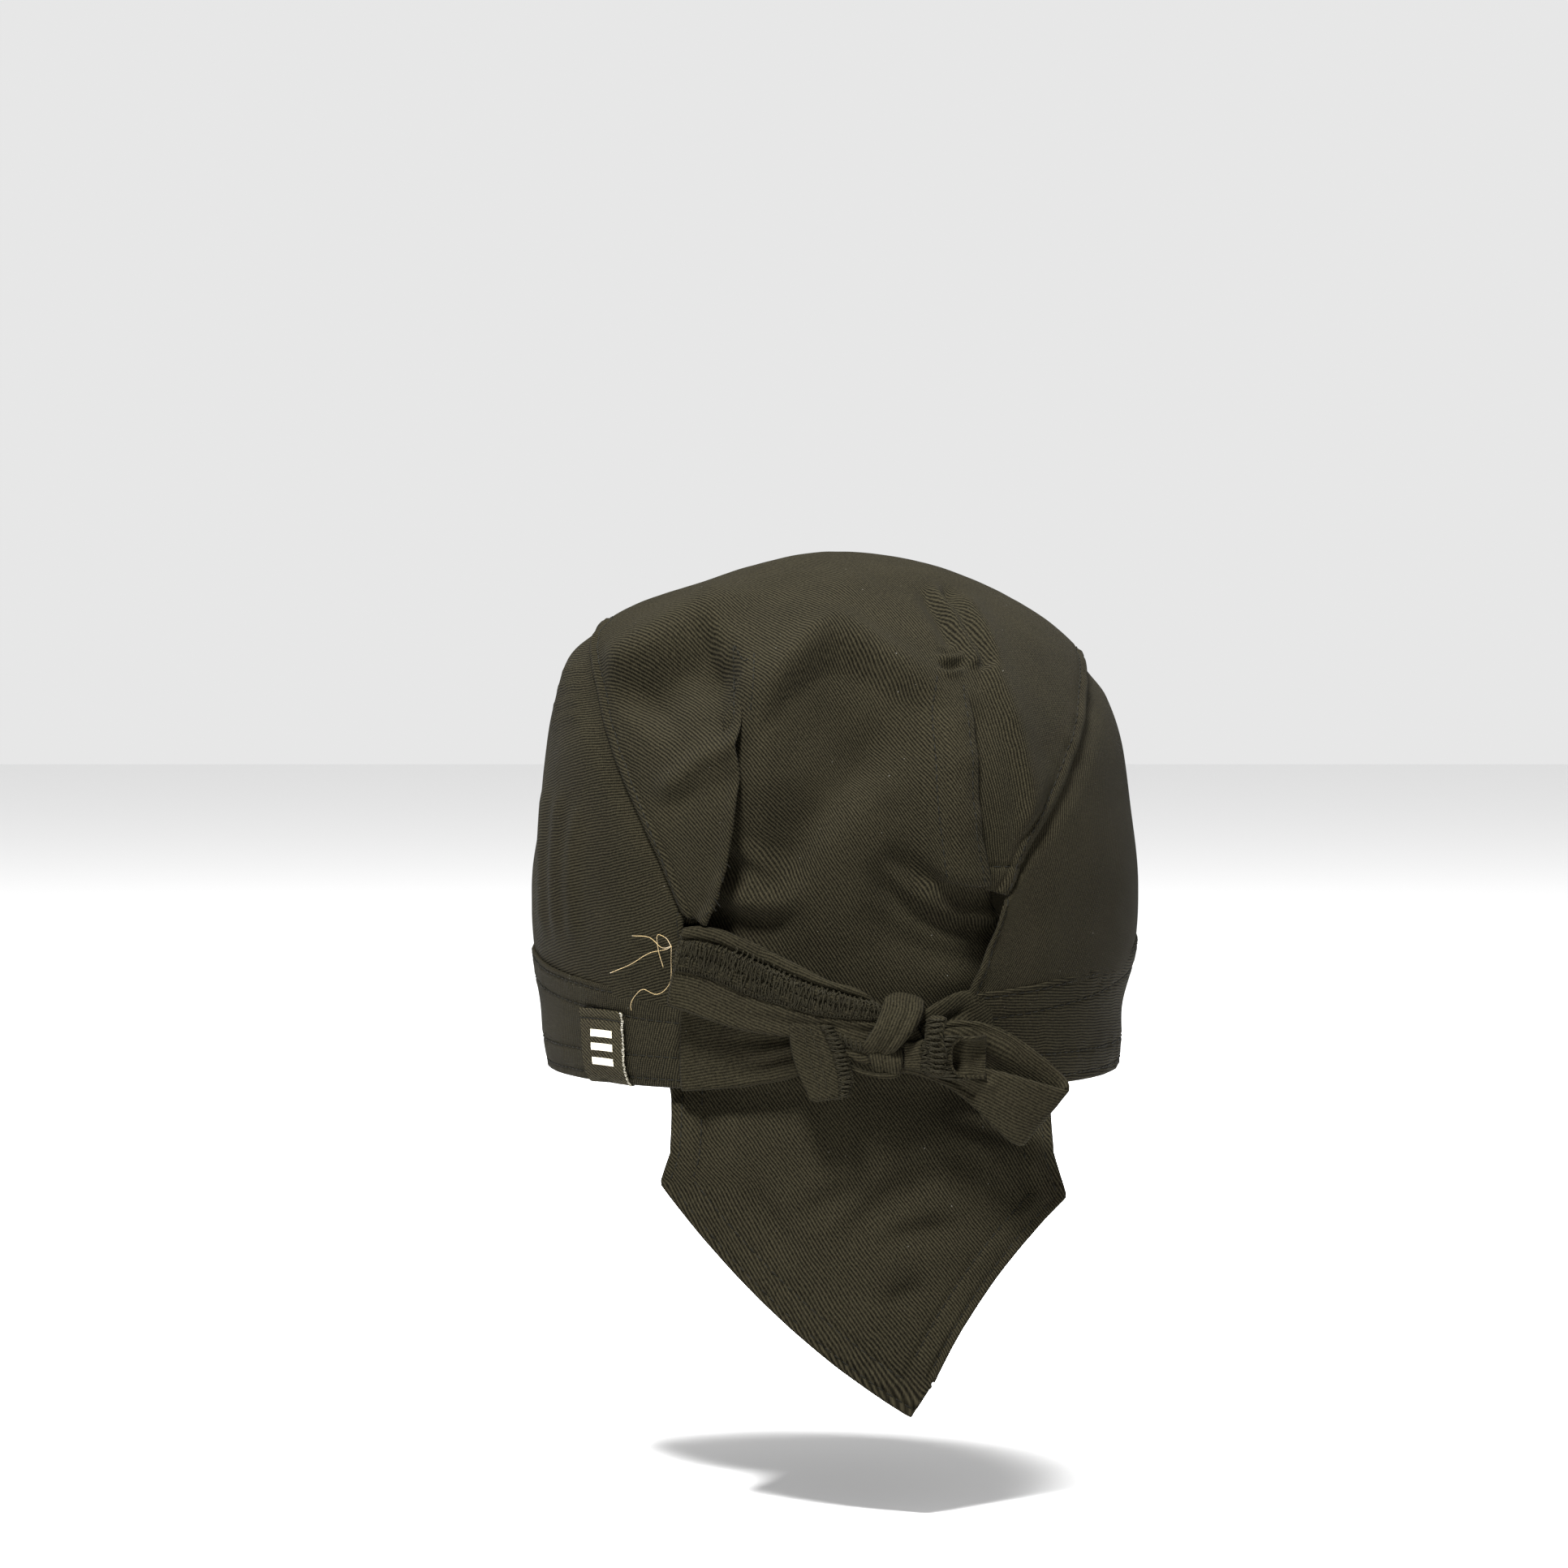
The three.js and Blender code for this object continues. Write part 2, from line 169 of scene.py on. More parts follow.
# ---- The cap's own shape, before its folds ----
HUB = np.array([0, 0, 50.0])
CROWN_HEIGHT = 149.5
RIGHT_OUTLINE = [(82.5, 0), (83.5, 18), (87.5, 34), (88.5, 52), (86, 76),
                 (81, 103), (70, 122), (51, 136.5), (28, 146), (0, CROWN_HEIGHT)]
LEFT_OUTLINE = [(83.5, 0), (85.5, 18), (88, 34), (88.5, 50), (86, 76),
                (82.5, 104), (76, 122), (63, 131.5), (37, 141), (0, CROWN_HEIGHT)]
BACK_OUTLINE = [(100, 0), (101, 18), (103.5, 34), (106, 52), (106, 76),
                (98, 102), (83, 121), (60, 136), (31, 146), (0, CROWN_HEIGHT)]
FRONT_OUTLINE = [(101, 0), (102, 18), (103.5, 34), (103, 60), (96, 90),
                 (83, 113), (63, 131), (32, 145), (0, CROWN_HEIGHT)]


def reach(outline):
    out, height = np.array(outline, float).T
    rise = height - HUB[2]
    return smooth_curve(np.c_[np.arctan2(rise, out), np.hypot(out, rise)], flat_end=True)


right_reach, left_reach = reach(RIGHT_OUTLINE), reach(LEFT_OUTLINE)
back_reach, front_reach = reach(BACK_OUTLINE), reach(FRONT_OUTLINE)


def unit(v):
    return v / np.maximum(np.linalg.norm(v, axis=-1, keepdims=True), 1e-12)


def on_cap(directions):
    """The points of the outer surface in some directions from the hub."""
    d = unit(np.asarray(directions, float))
    elevation = np.arcsin(np.clip(d[..., 2], -1, 1))
    level = d[..., 0] ** 2 + d[..., 1] ** 2
    sideways = np.where(level > 1e-12, d[..., 0] ** 2 / np.maximum(level, 1e-12), 0)
    side = np.where(d[..., 0] > 0, right_reach(elevation), left_reach(elevation))
    end = np.where(d[..., 1] > 0, front_reach(elevation), back_reach(elevation))
    return HUB + d * (side * sideways + end * (1 - sideways))[..., None]


def cap_at(azimuth, height):
    """The points of the outer surface at some azimuths, in degrees from the nape, and heights."""
    a, height = np.broadcast_arrays(np.radians(azimuth), height)
    low, high = np.full(a.shape, -1.2), np.full(a.shape, math.pi / 2)
    for _ in range(36):
        middle = (low + high) / 2
        d = np.stack([np.sin(a) * np.cos(middle), -np.cos(a) * np.cos(middle), np.sin(middle)], axis=-1)
        found = on_cap(d)
        below = found[..., 2] < height
        low, high = np.where(below, middle, low), np.where(below, high, middle)
    return found


def back_of_cap(x, z):
    """y of the outer surface behind the hub, at places seen from behind."""
    x, z = np.broadcast_arrays(np.asarray(x, float), z)
    low, high = np.full(x.shape, -140.0), np.full(x.shape, -1.0)
    for _ in range(36):
        middle = (low + high) / 2
        out = np.stack([x, middle, z], axis=-1) - HUB
        outside = np.linalg.norm(out, axis=-1) > np.linalg.norm(on_cap(out) - HUB, axis=-1)
        low, high = np.where(outside, middle, low), np.where(outside, high, middle)
    return low


def arc_between(start, end, share):
    """Directions part of the way round the shortest arcs between directions."""
    start, end = unit(start), unit(end)
    angle = np.arccos(np.clip((start * end).sum(-1, keepdims=True), -1, 1))
    share = np.asarray(share, float)[..., None]
    return (np.sin((1 - share) * angle) * start + np.sin(share * angle) * end) / np.sin(angle)


# ---- Meshes ----
class Shape:
    """Points, faces, cloth coordinates and materials that end up as one Blender mesh."""

    def __init__(self):
        self.points, self.faces, self.weave, self.slots = [], [], [], []
        self.count = 0

    def add(self, points, faces, weave, slot=0):
        points = np.asarray(points, float).reshape(-1, 3)
        self.points.append(points)
        self.weave.append(np.asarray(weave, float).reshape(-1, 2))
        for face in faces:
            self.faces.append([int(k) + self.count for k in face])
            self.slots.append(slot)
        self.count += len(points)


def split_off(shape, slots):
    """Two shapes: a shape's faces that aren't in some slots, and those that are, each with its own points."""
    points, weave = np.concatenate(shape.points), np.concatenate(shape.weave)
    parts = []
    for wanted in (False, True):
        part = Shape()
        chosen = [k for k, slot in enumerate(shape.slots) if (slot in slots) == wanted]
        used = np.unique(np.concatenate([shape.faces[k] for k in chosen]))
        place = np.zeros(len(points), int)
        place[used] = np.arange(len(used))
        part.add(points[used], [place[shape.faces[k]] for k in chosen], weave[used])
        part.slots = [shape.slots[k] for k in chosen]
        parts.append(part)
    return parts


def vertex_normals(points, faces):
    """Area-weighted normals of quads."""
    faces = np.asarray(faces)
    a, b, c, d = (points[faces[:, k]] for k in range(4))
    flat = np.cross(c - a, d - b)
    total = np.zeros_like(points)
    for k in range(4):
        np.add.at(total, faces[:, k], flat)
    return unit(total)


def grid_faces(rows, columns, first=0):
    k = np.arange(rows * columns).reshape(rows, columns) + first
    return np.stack([k[:-1, :-1], k[:-1, 1:], k[1:, 1:], k[1:, :-1]], axis=-1).reshape(-1, 4)


def facing_out(points, faces):
    """A grid's faces and normals, turned to face away from the hub."""
    normals = vertex_normals(points, faces)
    if normals[0] @ (points[0] - HUB) < 0:
        return faces[:, ::-1], -normals
    return faces, normals


def thicken(shape, points, faces, weave, thickness, slot=0):
    """Adds a sheet of quads to a shape: the outer face as given, an inner face behind it and a round rim."""
    faces = np.asarray(faces)
    normals = vertex_normals(points, faces)
    thickness = np.broadcast_to(np.asarray(thickness, float), len(points))[:, None]
    inner = points - normals * thickness
    count = len(points)
    edges = np.concatenate([faces[:, [k, (k + 1) % 4]] for k in range(4)])
    key = np.sort(edges, axis=1)
    _, index, uses = np.unique(key, axis=0, return_index=True, return_counts=True)
    rim = edges[index[uses == 1]]
    outward = np.zeros_like(points)
    along = unit(points[rim[:, 1]] - points[rim[:, 0]])
    away = np.cross(along, (normals[rim[:, 0]] + normals[rim[:, 1]]) / 2)
    for k in range(2):
        np.add.at(outward, rim[:, k], away)
    spots = np.unique(rim)
    middle = (points + inner)[spots] / 2 + unit(outward[spots]) * thickness[spots] * 0.45
    place = np.full(count, -1)
    place[spots] = np.arange(len(spots)) + 2 * count
    corner = weave[faces]
    turn = np.cross(corner[:, 2] - corner[:, 0], corner[:, 3] - corner[:, 1]).sum()
    step = weave[rim[:, 1]] - weave[rim[:, 0]]
    side = unit(np.stack([step[:, 1], -step[:, 0]], axis=1)) * np.sign(turn)
    drift = np.zeros((count, 2))
    for k in range(2):
        np.add.at(drift, rim[:, k], side)
    rim_weave = weave[spots] + unit(drift[spots]) * thickness[spots] * 0.7
    everything = np.concatenate([points, inner, middle])
    back = faces[:, ::-1] + count
    outer_rim = np.stack([rim[:, 1], rim[:, 0], place[rim[:, 0]], place[rim[:, 1]]], axis=1)
    inner_rim = np.stack([place[rim[:, 1]], place[rim[:, 0]], rim[:, 0] + count, rim[:, 1] + count], axis=1)
    shape.add(
        everything,
        np.concatenate([faces, back, outer_rim, inner_rim]),
        np.concatenate([weave, weave, rim_weave]),
        slot,
    )
    return normals


def make_piece(name, shape, materials):
    """Turns a shape into a Blender object whose faces each take one of the given materials, by slot."""
    mesh = bpy.data.meshes.new(name)
    points = np.concatenate(shape.points) * MM
    mesh.from_pydata(points.tolist(), [], shape.faces)
    weave = np.concatenate(shape.weave) * MM
    layer = mesh.uv_layers.new(name="weave")
    corners = np.empty(len(mesh.loops), np.int32)
    mesh.loops.foreach_get("vertex_index", corners)
    layer.data.foreach_set("uv", weave[corners].ravel())
    for material in materials:
        mesh.materials.append(material)
    mesh.polygons.foreach_set("material_index", np.array(shape.slots, np.int32))
    mesh.polygons.foreach_set("use_smooth", np.ones(len(shape.faces), bool))
    mesh.update()
    piece = bpy.data.objects.new(name, mesh)
    bpy.context.scene.collection.objects.link(piece)
    return piece


def turned(weave, degrees):
    """Cloth coordinates whose first axis runs along wales that rise by this angle."""
    a = math.radians(degrees)
    u, v = weave[..., 0], weave[..., 1]
    return np.stack([u * math.cos(a) + v * math.sin(a), v * math.cos(a) - u * math.sin(a)], axis=-1)


# ---- Where the panels meet ----
BAND_CLOTH = 1.4  # its thickness
BAND_RIGHT_END, BAND_LEFT_END = 22.5, -23.5


def band_top(azimuth):
    a = np.radians(azimuth)
    behind = (1 + np.cos(a)) / 2
    return 40.5 - 14.5 * behind ** 2 - 1.75 * (1 - np.sin(a))


SEAM_FOOT = 152
RIGHT_SEAM = [(28, 54), (32, 67), (39.5, 80), (49, 94), (61, 107.5), (75, 116),
              (90, 118.5), (108, 113), (126, 97), (140, 72), (149, 50), (SEAM_FOOT, 40)]
LEFT_SEAM = [(-25, 49), (-31, 69), (-40, 88), (-52, 107), (-64, 119), (-78, 127),
             (-92, 128), (-110, 121), (-127, 102), (-140, 74), (-149, 50), (-SEAM_FOOT, 38.4)]
DART_LEVEL = 0.255  # how far up the seams the rows that pass the darts' tops are
LEFT_SLIT = [(-46, -16), (-45, 5), (-41.8, 30), (-34.8, 49), (-31.3, 61), (-29.2, 72), (-28.2, 84),
             (-28, 100), (-27.6, 117.4)]
RIGHT_SLIT = [(59.5, -16), (58, 5), (50, 30), (43.6, 52), (41, 62), (38.8, 77), (38.3, 93), (36.4, 112.4)]


def seam_at(seam, share):
    """Points of a seam between the crown and a side panel, from the nape, at 0, to the forehead."""
    knots = np.arange(len(seam)) / (len(seam) - 1)
    azimuth = smooth_curve([(k, s[0]) for k, s in zip(knots, seam)])(share)
    height = smooth_curve([(k, s[1]) for k, s in zip(knots, seam)])(share)
    return cap_at(azimuth, height)


left_slit = smooth_curve([(z, x) for x, z in LEFT_SLIT])
right_slit = smooth_curve([(z, x) for x, z in RIGHT_SLIT])


def on_back(x, z):
    return np.stack([x, back_of_cap(x, z), np.broadcast_to(z, np.shape(x))], axis=-1)


# ---- Thread ----
def trace(points, normals, column=None, row=None):
    """The points and normals of a grid along one of its columns or rows, which may lie between two."""
    if row is not None:
        points, normals, column = points.swapaxes(0, 1), normals.swapaxes(0, 1), row
    low = int(np.clip(math.floor(column), 0, points.shape[1] - 2))
    spots, ups = (lerp(grid[:, low], grid[:, low + 1], column - low) for grid in (points, normals))
    return spots, unit(ups)


def tube(shape, path, radius, sides=5, slot=1):
    """A thread along a path, closed at both ends; radius is one number or one for each point."""
    path = np.asarray(path, float)
    radius = np.broadcast_to(radius, len(path))
    tangent = unit(np.gradient(path, axis=0))
    guide = np.array([0.31, 0.52, 0.79])
    side = unit(np.cross(tangent, guide))
    other = np.cross(tangent, side)
    angle = np.linspace(0, 2 * math.pi, sides, endpoint=False)
    ring = np.cos(angle)[None, :, None] * side[:, None] + np.sin(angle)[None, :, None] * other[:, None]
    points = (path[:, None] + ring * radius[:, None, None]).reshape(-1, 3)
    k = np.arange(len(path) * sides).reshape(len(path), sides)
    turn = np.roll(k, -1, axis=1)
    faces = np.stack([k[:-1], turn[:-1], turn[1:], k[1:]], axis=-1).reshape(-1, 4).tolist()
    faces += [k[0][::-1].tolist(), k[-1].tolist()]
    along = lengths_along(path)
    weave = np.stack(np.broadcast_arrays(along[:, None], angle[None] * radius[:, None]), axis=-1)
    shape.add(points, faces, weave, slot)


STITCH, STITCH_GAP, THREAD = 2.3, 0.7, 0.2  # a stitch's length, the gap after it and the thread's radius


def stitch_row(shape, path, normals):
    """A row of stitches that dip into the cloth at their ends."""
    lengths = lengths_along(path)
    spot = STITCH_GAP
    while spot + STITCH < lengths[-1]:
        along = spot + STITCH * np.array([0, 0.12, 0.5, 0.88, 1])
        lift = THREAD * np.array([-1.6, 0.1, 0.55, 0.1, -1.6])
        line = np.stack([np.interp(along, lengths, path[:, k]) for k in range(3)], axis=1)
        up = np.stack([np.interp(along, lengths, normals[:, k]) for k in range(3)], axis=1)
        tube(shape, line + unit(up) * lift[:, None], THREAD)
        spot += STITCH + STITCH_GAP


def spots_on(points, normals, rows, columns):
    """Points and normals of a grid at some rows and columns, which may lie between its own."""
    rows, columns = np.broadcast_arrays(np.asarray(rows, float), np.asarray(columns, float))
    r = np.clip(np.floor(rows).astype(int), 0, points.shape[0] - 2)
    c = np.clip(np.floor(columns).astype(int), 0, points.shape[1] - 2)
    down, along = (rows - r)[:, None], (columns - c)[:, None]

    def pick(grid):
        upper, lower = (lerp(grid[row, c], grid[row, c + 1], along) for row in (r, r + 1))
        return lerp(upper, lower, down)

    return pick(points), unit(pick(normals))


def laid_on(points, normals, path, count=40):
    """A path seen from behind, laid on the nearest points of a surface."""
    path = smooth_path(path, count)
    near = ((points[None, :, [0, 2]] - path[:, None]) ** 2).sum(-1).argmin(1)
    spots, ups = points[near], normals[near]
    right, rise = (path - spots[:, [0, 2]]).T
    deeper = -(ups[:, 0] * right + ups[:, 2] * rise) / np.minimum(ups[:, 1], -0.35)
    depth = spots[:, 1] + np.clip(deeper, -0.8, 0.8)
    for _ in range(3):
        depth[1:-1] = (depth[:-2] + depth[1:-1] + depth[2:]) / 3
    return np.stack([path[:, 0], depth, path[:, 1]], axis=1), ups


def overlock(shape, points, normals, low, high, pitch, seed, radius=0.17, span=(0, 1)):
    """Overlock stitches: a looping thread across a strip of a grid, from one share of its rows to another.

    low and high are numbers, or functions of the share of the way along.
    """
    random = np.random.default_rng(seed)
    rows, columns = points.shape[0] - 1, points.shape[1] - 1
    length = np.linalg.norm(np.diff(points[rows // 2], axis=0), axis=1).sum() * (span[1] - span[0])
    turns = max(3, round(length / pitch))
    share = np.linspace(0, 1, turns * 4 + 1)
    quarter = np.arange(turns * 4 + 1) % 4
    wave = np.array([0, 0.72, 1, 0.72])[quarter]
    lean = np.array([0, 0.75, 0, -0.75])[quarter]
    jitter = random.uniform(-1, 1, (3, turns * 4 + 1))
    low, high = (edge(share) if callable(edge) else edge for edge in (low, high))
    across = lerp(low, high, np.clip(wave + 0.13 * jitter[0], -0.05, 1.1))
    along = share + (lean + 0.35 * jitter[1]) * 0.5 * pitch / length
    along = np.clip(lerp(span[0], span[1], along), 0, 1)
    spots, ups = spots_on(points, normals, across * rows, along * columns)
    lift = 0.25 + 0.3 * np.array([0, 1, 0.4, 1])[quarter] + 0.15 * jitter[2]
    tube(shape, smooth_path(spots + ups * lift[:, None], turns * 9), radius)


def frayed(shape, path, away, count, length, seed, radius=0.13):
    """Loose threads that stick out along a path, each with its own curl; away is their direction."""
    random = np.random.default_rng(seed)
    roots = smooth_path(path, count)
    aim = unit(np.asarray(away, float))
    for root in roots:
        reach_out = length * random.uniform(0.35, 1)
        spread = random.normal(0, 0.45, (3, 3))
        steps = [root - 0.6 * aim]
        for k in range(3):
            aim_now = unit(aim + spread[:k + 1].sum(0))
            steps.append(steps[-1] + aim_now * reach_out / 3)
        tube(shape, smooth_path(steps, 8), radius, 4)


# ---- The crown, its recessed back and the tail: one piece of cloth ----
CLOTH = 1.2  # the panels' thickness
TOP, LEFT_LOBE, MIDDLE, RIGHT_LOBE = range(4)
SEAM_STITCH = 3.4  # from the seam between crown and side panel to its topstitching
DART_STITCHES = (1.1, 8.3)  # from the right dart's edge to its two rows
LEFT_DART_STITCHES = (
    [(-29.2, 123.5), (-28.9, 110), (-29.0, 98)],
    [(-23.3, 121.5), (-23.6, 112), (-24.6, 103)],
    [(-29.2, 123.5), (-26, 119), (-23.3, 121.5)],
)
RIGHT_LOBE_END, RIGHT_LOBE_HEM = 56, 6  # the height at which it ends, and from there up to its stitches
ROW, COLUMN = 0.9, 0.9  # spacing of the crown's grid
TAIL_TOP = -18.2
TAIL_LEFT_TOP, TAIL_RIGHT_TOP = (LEFT_SLIT[0][0], TAIL_TOP), (RIGHT_SLIT[0][0], TAIL_TOP)
# Each of the tail's two bowed edges: a corner, the point that it is pulled towards, and its end at the tip.
TAIL_LEFT_EDGE = (-48.8, -26.4), (-18, -67), (20, -90)
TAIL_RIGHT_EDGE = (63.2, -30.4), (41, -51), (26.7, -79.9)
CORNER_SHARE = 0.12  # of the tail's rows, above its corners
NAPE_INSET = 6  # how far in from the band the middle strip passes it
CAP_RADIUS = 95  # about the cap's mean radius, which sets how many columns the grid has
TOP_RUN, LOBE_RUN, HELD_RUN, TAIL_RUN = 262, 70, 134, 73  # how far each part of the crown runs down its rows
BRIM_TUCK = 4  # how far the crown's front edge goes down behind the headband
LEFT_LOBE_END = 46.5  # a height
DART_LAP = 5  # how far a layer of cloth goes on past a dart's line


def bow(corner, pull, tip, share):
    """Points part of the way along a bowed edge."""
    corner, pull, tip = np.array(corner), np.array(pull), np.array(tip)
    return (1 - share) ** 2 * corner + 2 * share * (1 - share) * pull + share * share * tip


def tail_depth(x, z):
    down = np.clip((TAIL_TOP - z) / (TAIL_TOP - TAIL_LEFT_EDGE[-1][1]), 0, 1)
    return -95 + 0.0025 * x * x * (1 - 0.5 * down) - 6 * down


def lobe(from_edge, to_edge, columns):
    """A grid on the cap's surface between two edges."""
    share = np.broadcast_to(np.linspace(0, 1, columns + 1), (len(from_edge), columns + 1))
    return on_cap(arc_between((from_edge - HUB)[:, None], (to_edge - HUB)[:, None], share))


def crown_blocks():
    """The crown's grids before its folds: the top, the left lobe, the middle strip and the right lobe."""
    ends = [seam_at(LEFT_SEAM, DART_LEVEL), on_back(*LEFT_SLIT[-1]), on_back(*RIGHT_SLIT[-1]),
            seam_at(RIGHT_SEAM, DART_LEVEL)]
    stops = [unit(end - HUB) for end in ends]
    angles = [float(np.arccos(stops[k] @ stops[k + 1])) for k in range(3)]
    counts = [round(angle * CAP_RADIUS / COLUMN) for angle in angles]
    reached = np.cumsum([0, *angles])
    share = np.concatenate([
        np.linspace(reached[k], reached[k + 1], counts[k] + 1)[k > 0:] for k in range(3)
    ]) / reached[-1]
    level_row = np.concatenate([
        arc_between(stops[k], stops[k + 1], np.linspace(0, 1, counts[k] + 1))[k > 0:] for k in range(3)
    ])
    rows = round(TOP_RUN / ROW)
    up = np.linspace(1, DART_LEVEL, rows + 1)[:, None]
    left = unit(seam_at(LEFT_SEAM, up[:, 0]) - HUB)[:, None, :]
    right = unit(seam_at(RIGHT_SEAM, up[:, 0]) - HUB)[:, None, :]
    d = arc_between(left, right, np.broadcast_to(share, (rows + 1, len(share))))
    azimuth = lerp(360 - SEAM_FOOT, SEAM_FOOT, share)
    brim = unit(cap_at(azimuth, band_top(azimuth) - BRIM_TUCK) - HUB)
    d = d + (brim - d[0])[None] * (up ** 6)[..., None]
    d = d + (level_row - unit(d[-1]))[None] * (1 - smoothstep(up, DART_LEVEL, 0.5))[..., None]
    top = on_cap(d)

    down = np.linspace(0, 1, round(LOBE_RUN / ROW) + 1)
    z = lerp(LEFT_SLIT[-1][1], LEFT_LOBE_END, down)
    left_lobe = lobe(seam_at(LEFT_SEAM, DART_LEVEL * (1 - down)), on_back(left_slit(z), z), counts[0])
    z = lerp(RIGHT_SLIT[-1][1], RIGHT_LOBE_END, down)
    under = DART_LAP * smoothstep(down, 0, 0.12) * (1 - smoothstep(down, 0.85, 1))
    right_dart = on_back(right_slit(z) - under, z)
    right_lobe = lobe(right_dart, seam_at(RIGHT_SEAM, DART_LEVEL * (1 - down)), counts[2])
    middle = middle_strip(top[-1, counts[0]:counts[0] + counts[1] + 1])
    return [top, left_lobe, middle, right_lobe]


def middle_strip(level_row):
    """The strip between the darts: down inside the headband, then out below it as the tail."""
    held_rows, tail_rows = round(HELD_RUN / ROW), round(TAIL_RUN / ROW)
    columns = len(level_row)
    across = np.linspace(0, 1, columns)
    down = np.linspace(0, 1, held_rows + 1)[:, None]
    z = lerp(level_row[:, 2][None], TAIL_TOP, down)
    under = DART_LAP * smoothstep(down, 0, 0.1) * (1 - smoothstep(down, 0.75, 0.95))
    even = lerp(left_slit(z) - under, right_slit(z), across[None])
    x = lerp(level_row[:, 0][None], even, smoothstep(down, 0, 0.06))
    sewn = smoothstep(x, 22, 33) * smoothstep(z, 50, 58)  # where the strip is sewn down along the right dart
    inset = NAPE_INSET * (1 - smoothstep(z, 48, 90)) * (1 - sewn)
    held = back_of_cap(x, np.maximum(z, 0)) + inset
    y = lerp(tail_depth(x, TAIL_TOP), held, smoothstep(z, TAIL_TOP, 0))
    upper = np.stack([x, y, z], axis=-1)
    upper[0] = level_row

    t = np.linspace(0, 1, tail_rows + 1)[1:, None]

    def edge(top, corner, pull, tip):
        straight = lerp(np.array(top), np.array(corner), np.clip(t / CORNER_SHARE, 0, 1))
        bowed = bow(corner, pull, tip, np.clip((t - CORNER_SHARE) / (1 - CORNER_SHARE), 0, 1))
        return np.where(t < CORNER_SHARE, straight, bowed)

    left = edge(TAIL_LEFT_TOP, *TAIL_LEFT_EDGE)
    right = edge(TAIL_RIGHT_TOP, *TAIL_RIGHT_EDGE)
    spots = lerp(left[:, None, :], right[:, None, :], across[None, :, None])
    lower = np.stack([spots[..., 0], tail_depth(spots[..., 0], spots[..., 1]), spots[..., 1]], axis=-1)
    return np.concatenate([upper, lower])


BROW = [(-32, 96), (-24, 102), (-18, 109), (-11, 117), (-4, 122.4), (2, 123.6), (10, 120), (18, 115.6),
        (25, 112), (36, 108)]
VALLEY = [(14, 116), (11, 106), (6, 94), (-2, 82), (-11, 70), (-19, 58)]
PLEAT = [(31, 138.5), (36, 132), (39.5, 127), (41.5, 121.5), (43, 116), (46, 109), (48.5, 102), (51, 92),
         (53, 80), (52, 68)]
TUCK = [(26, 141), (30.8, 134), (34, 127.5), (37.4, 121.5), (38.6, 116)]


# Each fold is a path seen from behind, a height, its two flanks' widths, and how much of each end fades.
BACK_FOLDS = (
    ([(12, 147), (-3, 132), (-14, 120), (-21, 111), (-26, 100)], 2.6, 9, 7, (0.25, 0.25)),
    ([(-68, 112.5), (-52, 122.5), (-36, 132), (-20, 140)], 4.8, 7, 4.0, (0.2, 0.3)),
    ([(-62, 104), (-51, 114.5), (-41, 122), (-32, 127)], -7.5, 5, 14, (0.25, 0.2)),
    ([(-52, 80), (-44.4, 85), (-38, 90.6), (-30, 94.4)], 2.6, 4.5, 2.2, (0.3, 0)),
    ([(-50, 74), (-40, 82), (-29, 87)], -1.6, 2.6, 4, (0.4, 0)),
    (PLEAT, 3.0, 5.5, 2.6, (0.12, 0.1)),
    ([(x + 3.2, z - 1) for x, z in TUCK], -3.0, 1.7, 1.7, (0.15, 0.1)),
    (TUCK, 2.0, 1.7, 1.7, (0.2, 0.1)),
    ([(x - 3.4, z) for x, z in TUCK[:4]], -2.4, 1.6, 2.6, (0.3, 0.2)),
    ([(-33, 128), (-31, 122), (-29.5, 114)], -2.0, 2.5, 2.5, (0.3, 0.1)),
    ([(-37, 124), (-36, 114), (-35, 104), (-37, 95)], -3.0, 6, 5.5, (0.2, 0.3)),
    *(([(27.5, z), (31, z - 1.2), (36, z)], height, 1.0, 1.0, (0.3, 0.3))
      for z, height in ((122.5, -1.3), (120.6, 1.3), (118.4, -1.4), (116.6, 1.1))),
)
HOLLOW_FOLDS = (  # the same for the strip between the darts, where a height is a depth
    (VALLEY, 7.0, 7, 13, (0.35, 0.1)),
    ([(-33, 63), (-25, 60), (-17, 57.5), (-11, 61)], 3.4, 4, 5, (0, 0.4)),
    ([(-36, 57), (-28, 53.5), (-18, 52), (-8, 56)], -1.6, 3.6, 4.4, (0, 0.4)),
    ([(-38, 49), (-28, 46.5), (-18, 46), (-8, 49)], 3.2, 3.6, 7, (0, 0.4)),
    ([(13, 69), (17, 64), (24, 57), (33, 53.5), (44, 52.5)], 4.2, 4.2, 3.6, (0.3, 0)),
    ([(14, 63), (21, 55.5), (30, 50), (43, 48)], -2.4, 3.2, 3.2, (0.3, 0)),
    ([(7, 64), (18, 52.5), (28, 46.5), (43, 43.5)], 3.6, 3.6, 4.2, (0.3, 0)),
    ([(5, 52), (18, 42), (30, 37), (44, 35)], 2.2, 4.5, 5, (0.3, 0)),
)
HOLLOW_MIDDLE, HOLLOW_SPREAD = 4, 24


def hollow(x, z):
    """How far the strip between the darts drops in, seen from behind."""
    below = smooth_curve(BROW)(x) - z
    sideways = (x - HOLLOW_MIDDLE) / HOLLOW_SPREAD
    deep = 9.5 * np.exp(-(sideways ** 4))
    drop = deep * (0.7 * smoothstep(below, -1.5, 5) + 0.3 * smoothstep(below, 3, 18))
    drop = drop * (1 - 0.6 * smoothstep(below, 18, 58))
    brow = 2.6 * bell((below + 4) / 3.6) * bell(sideways)
    return drop - brow + folds(x, z, HOLLOW_FOLDS)


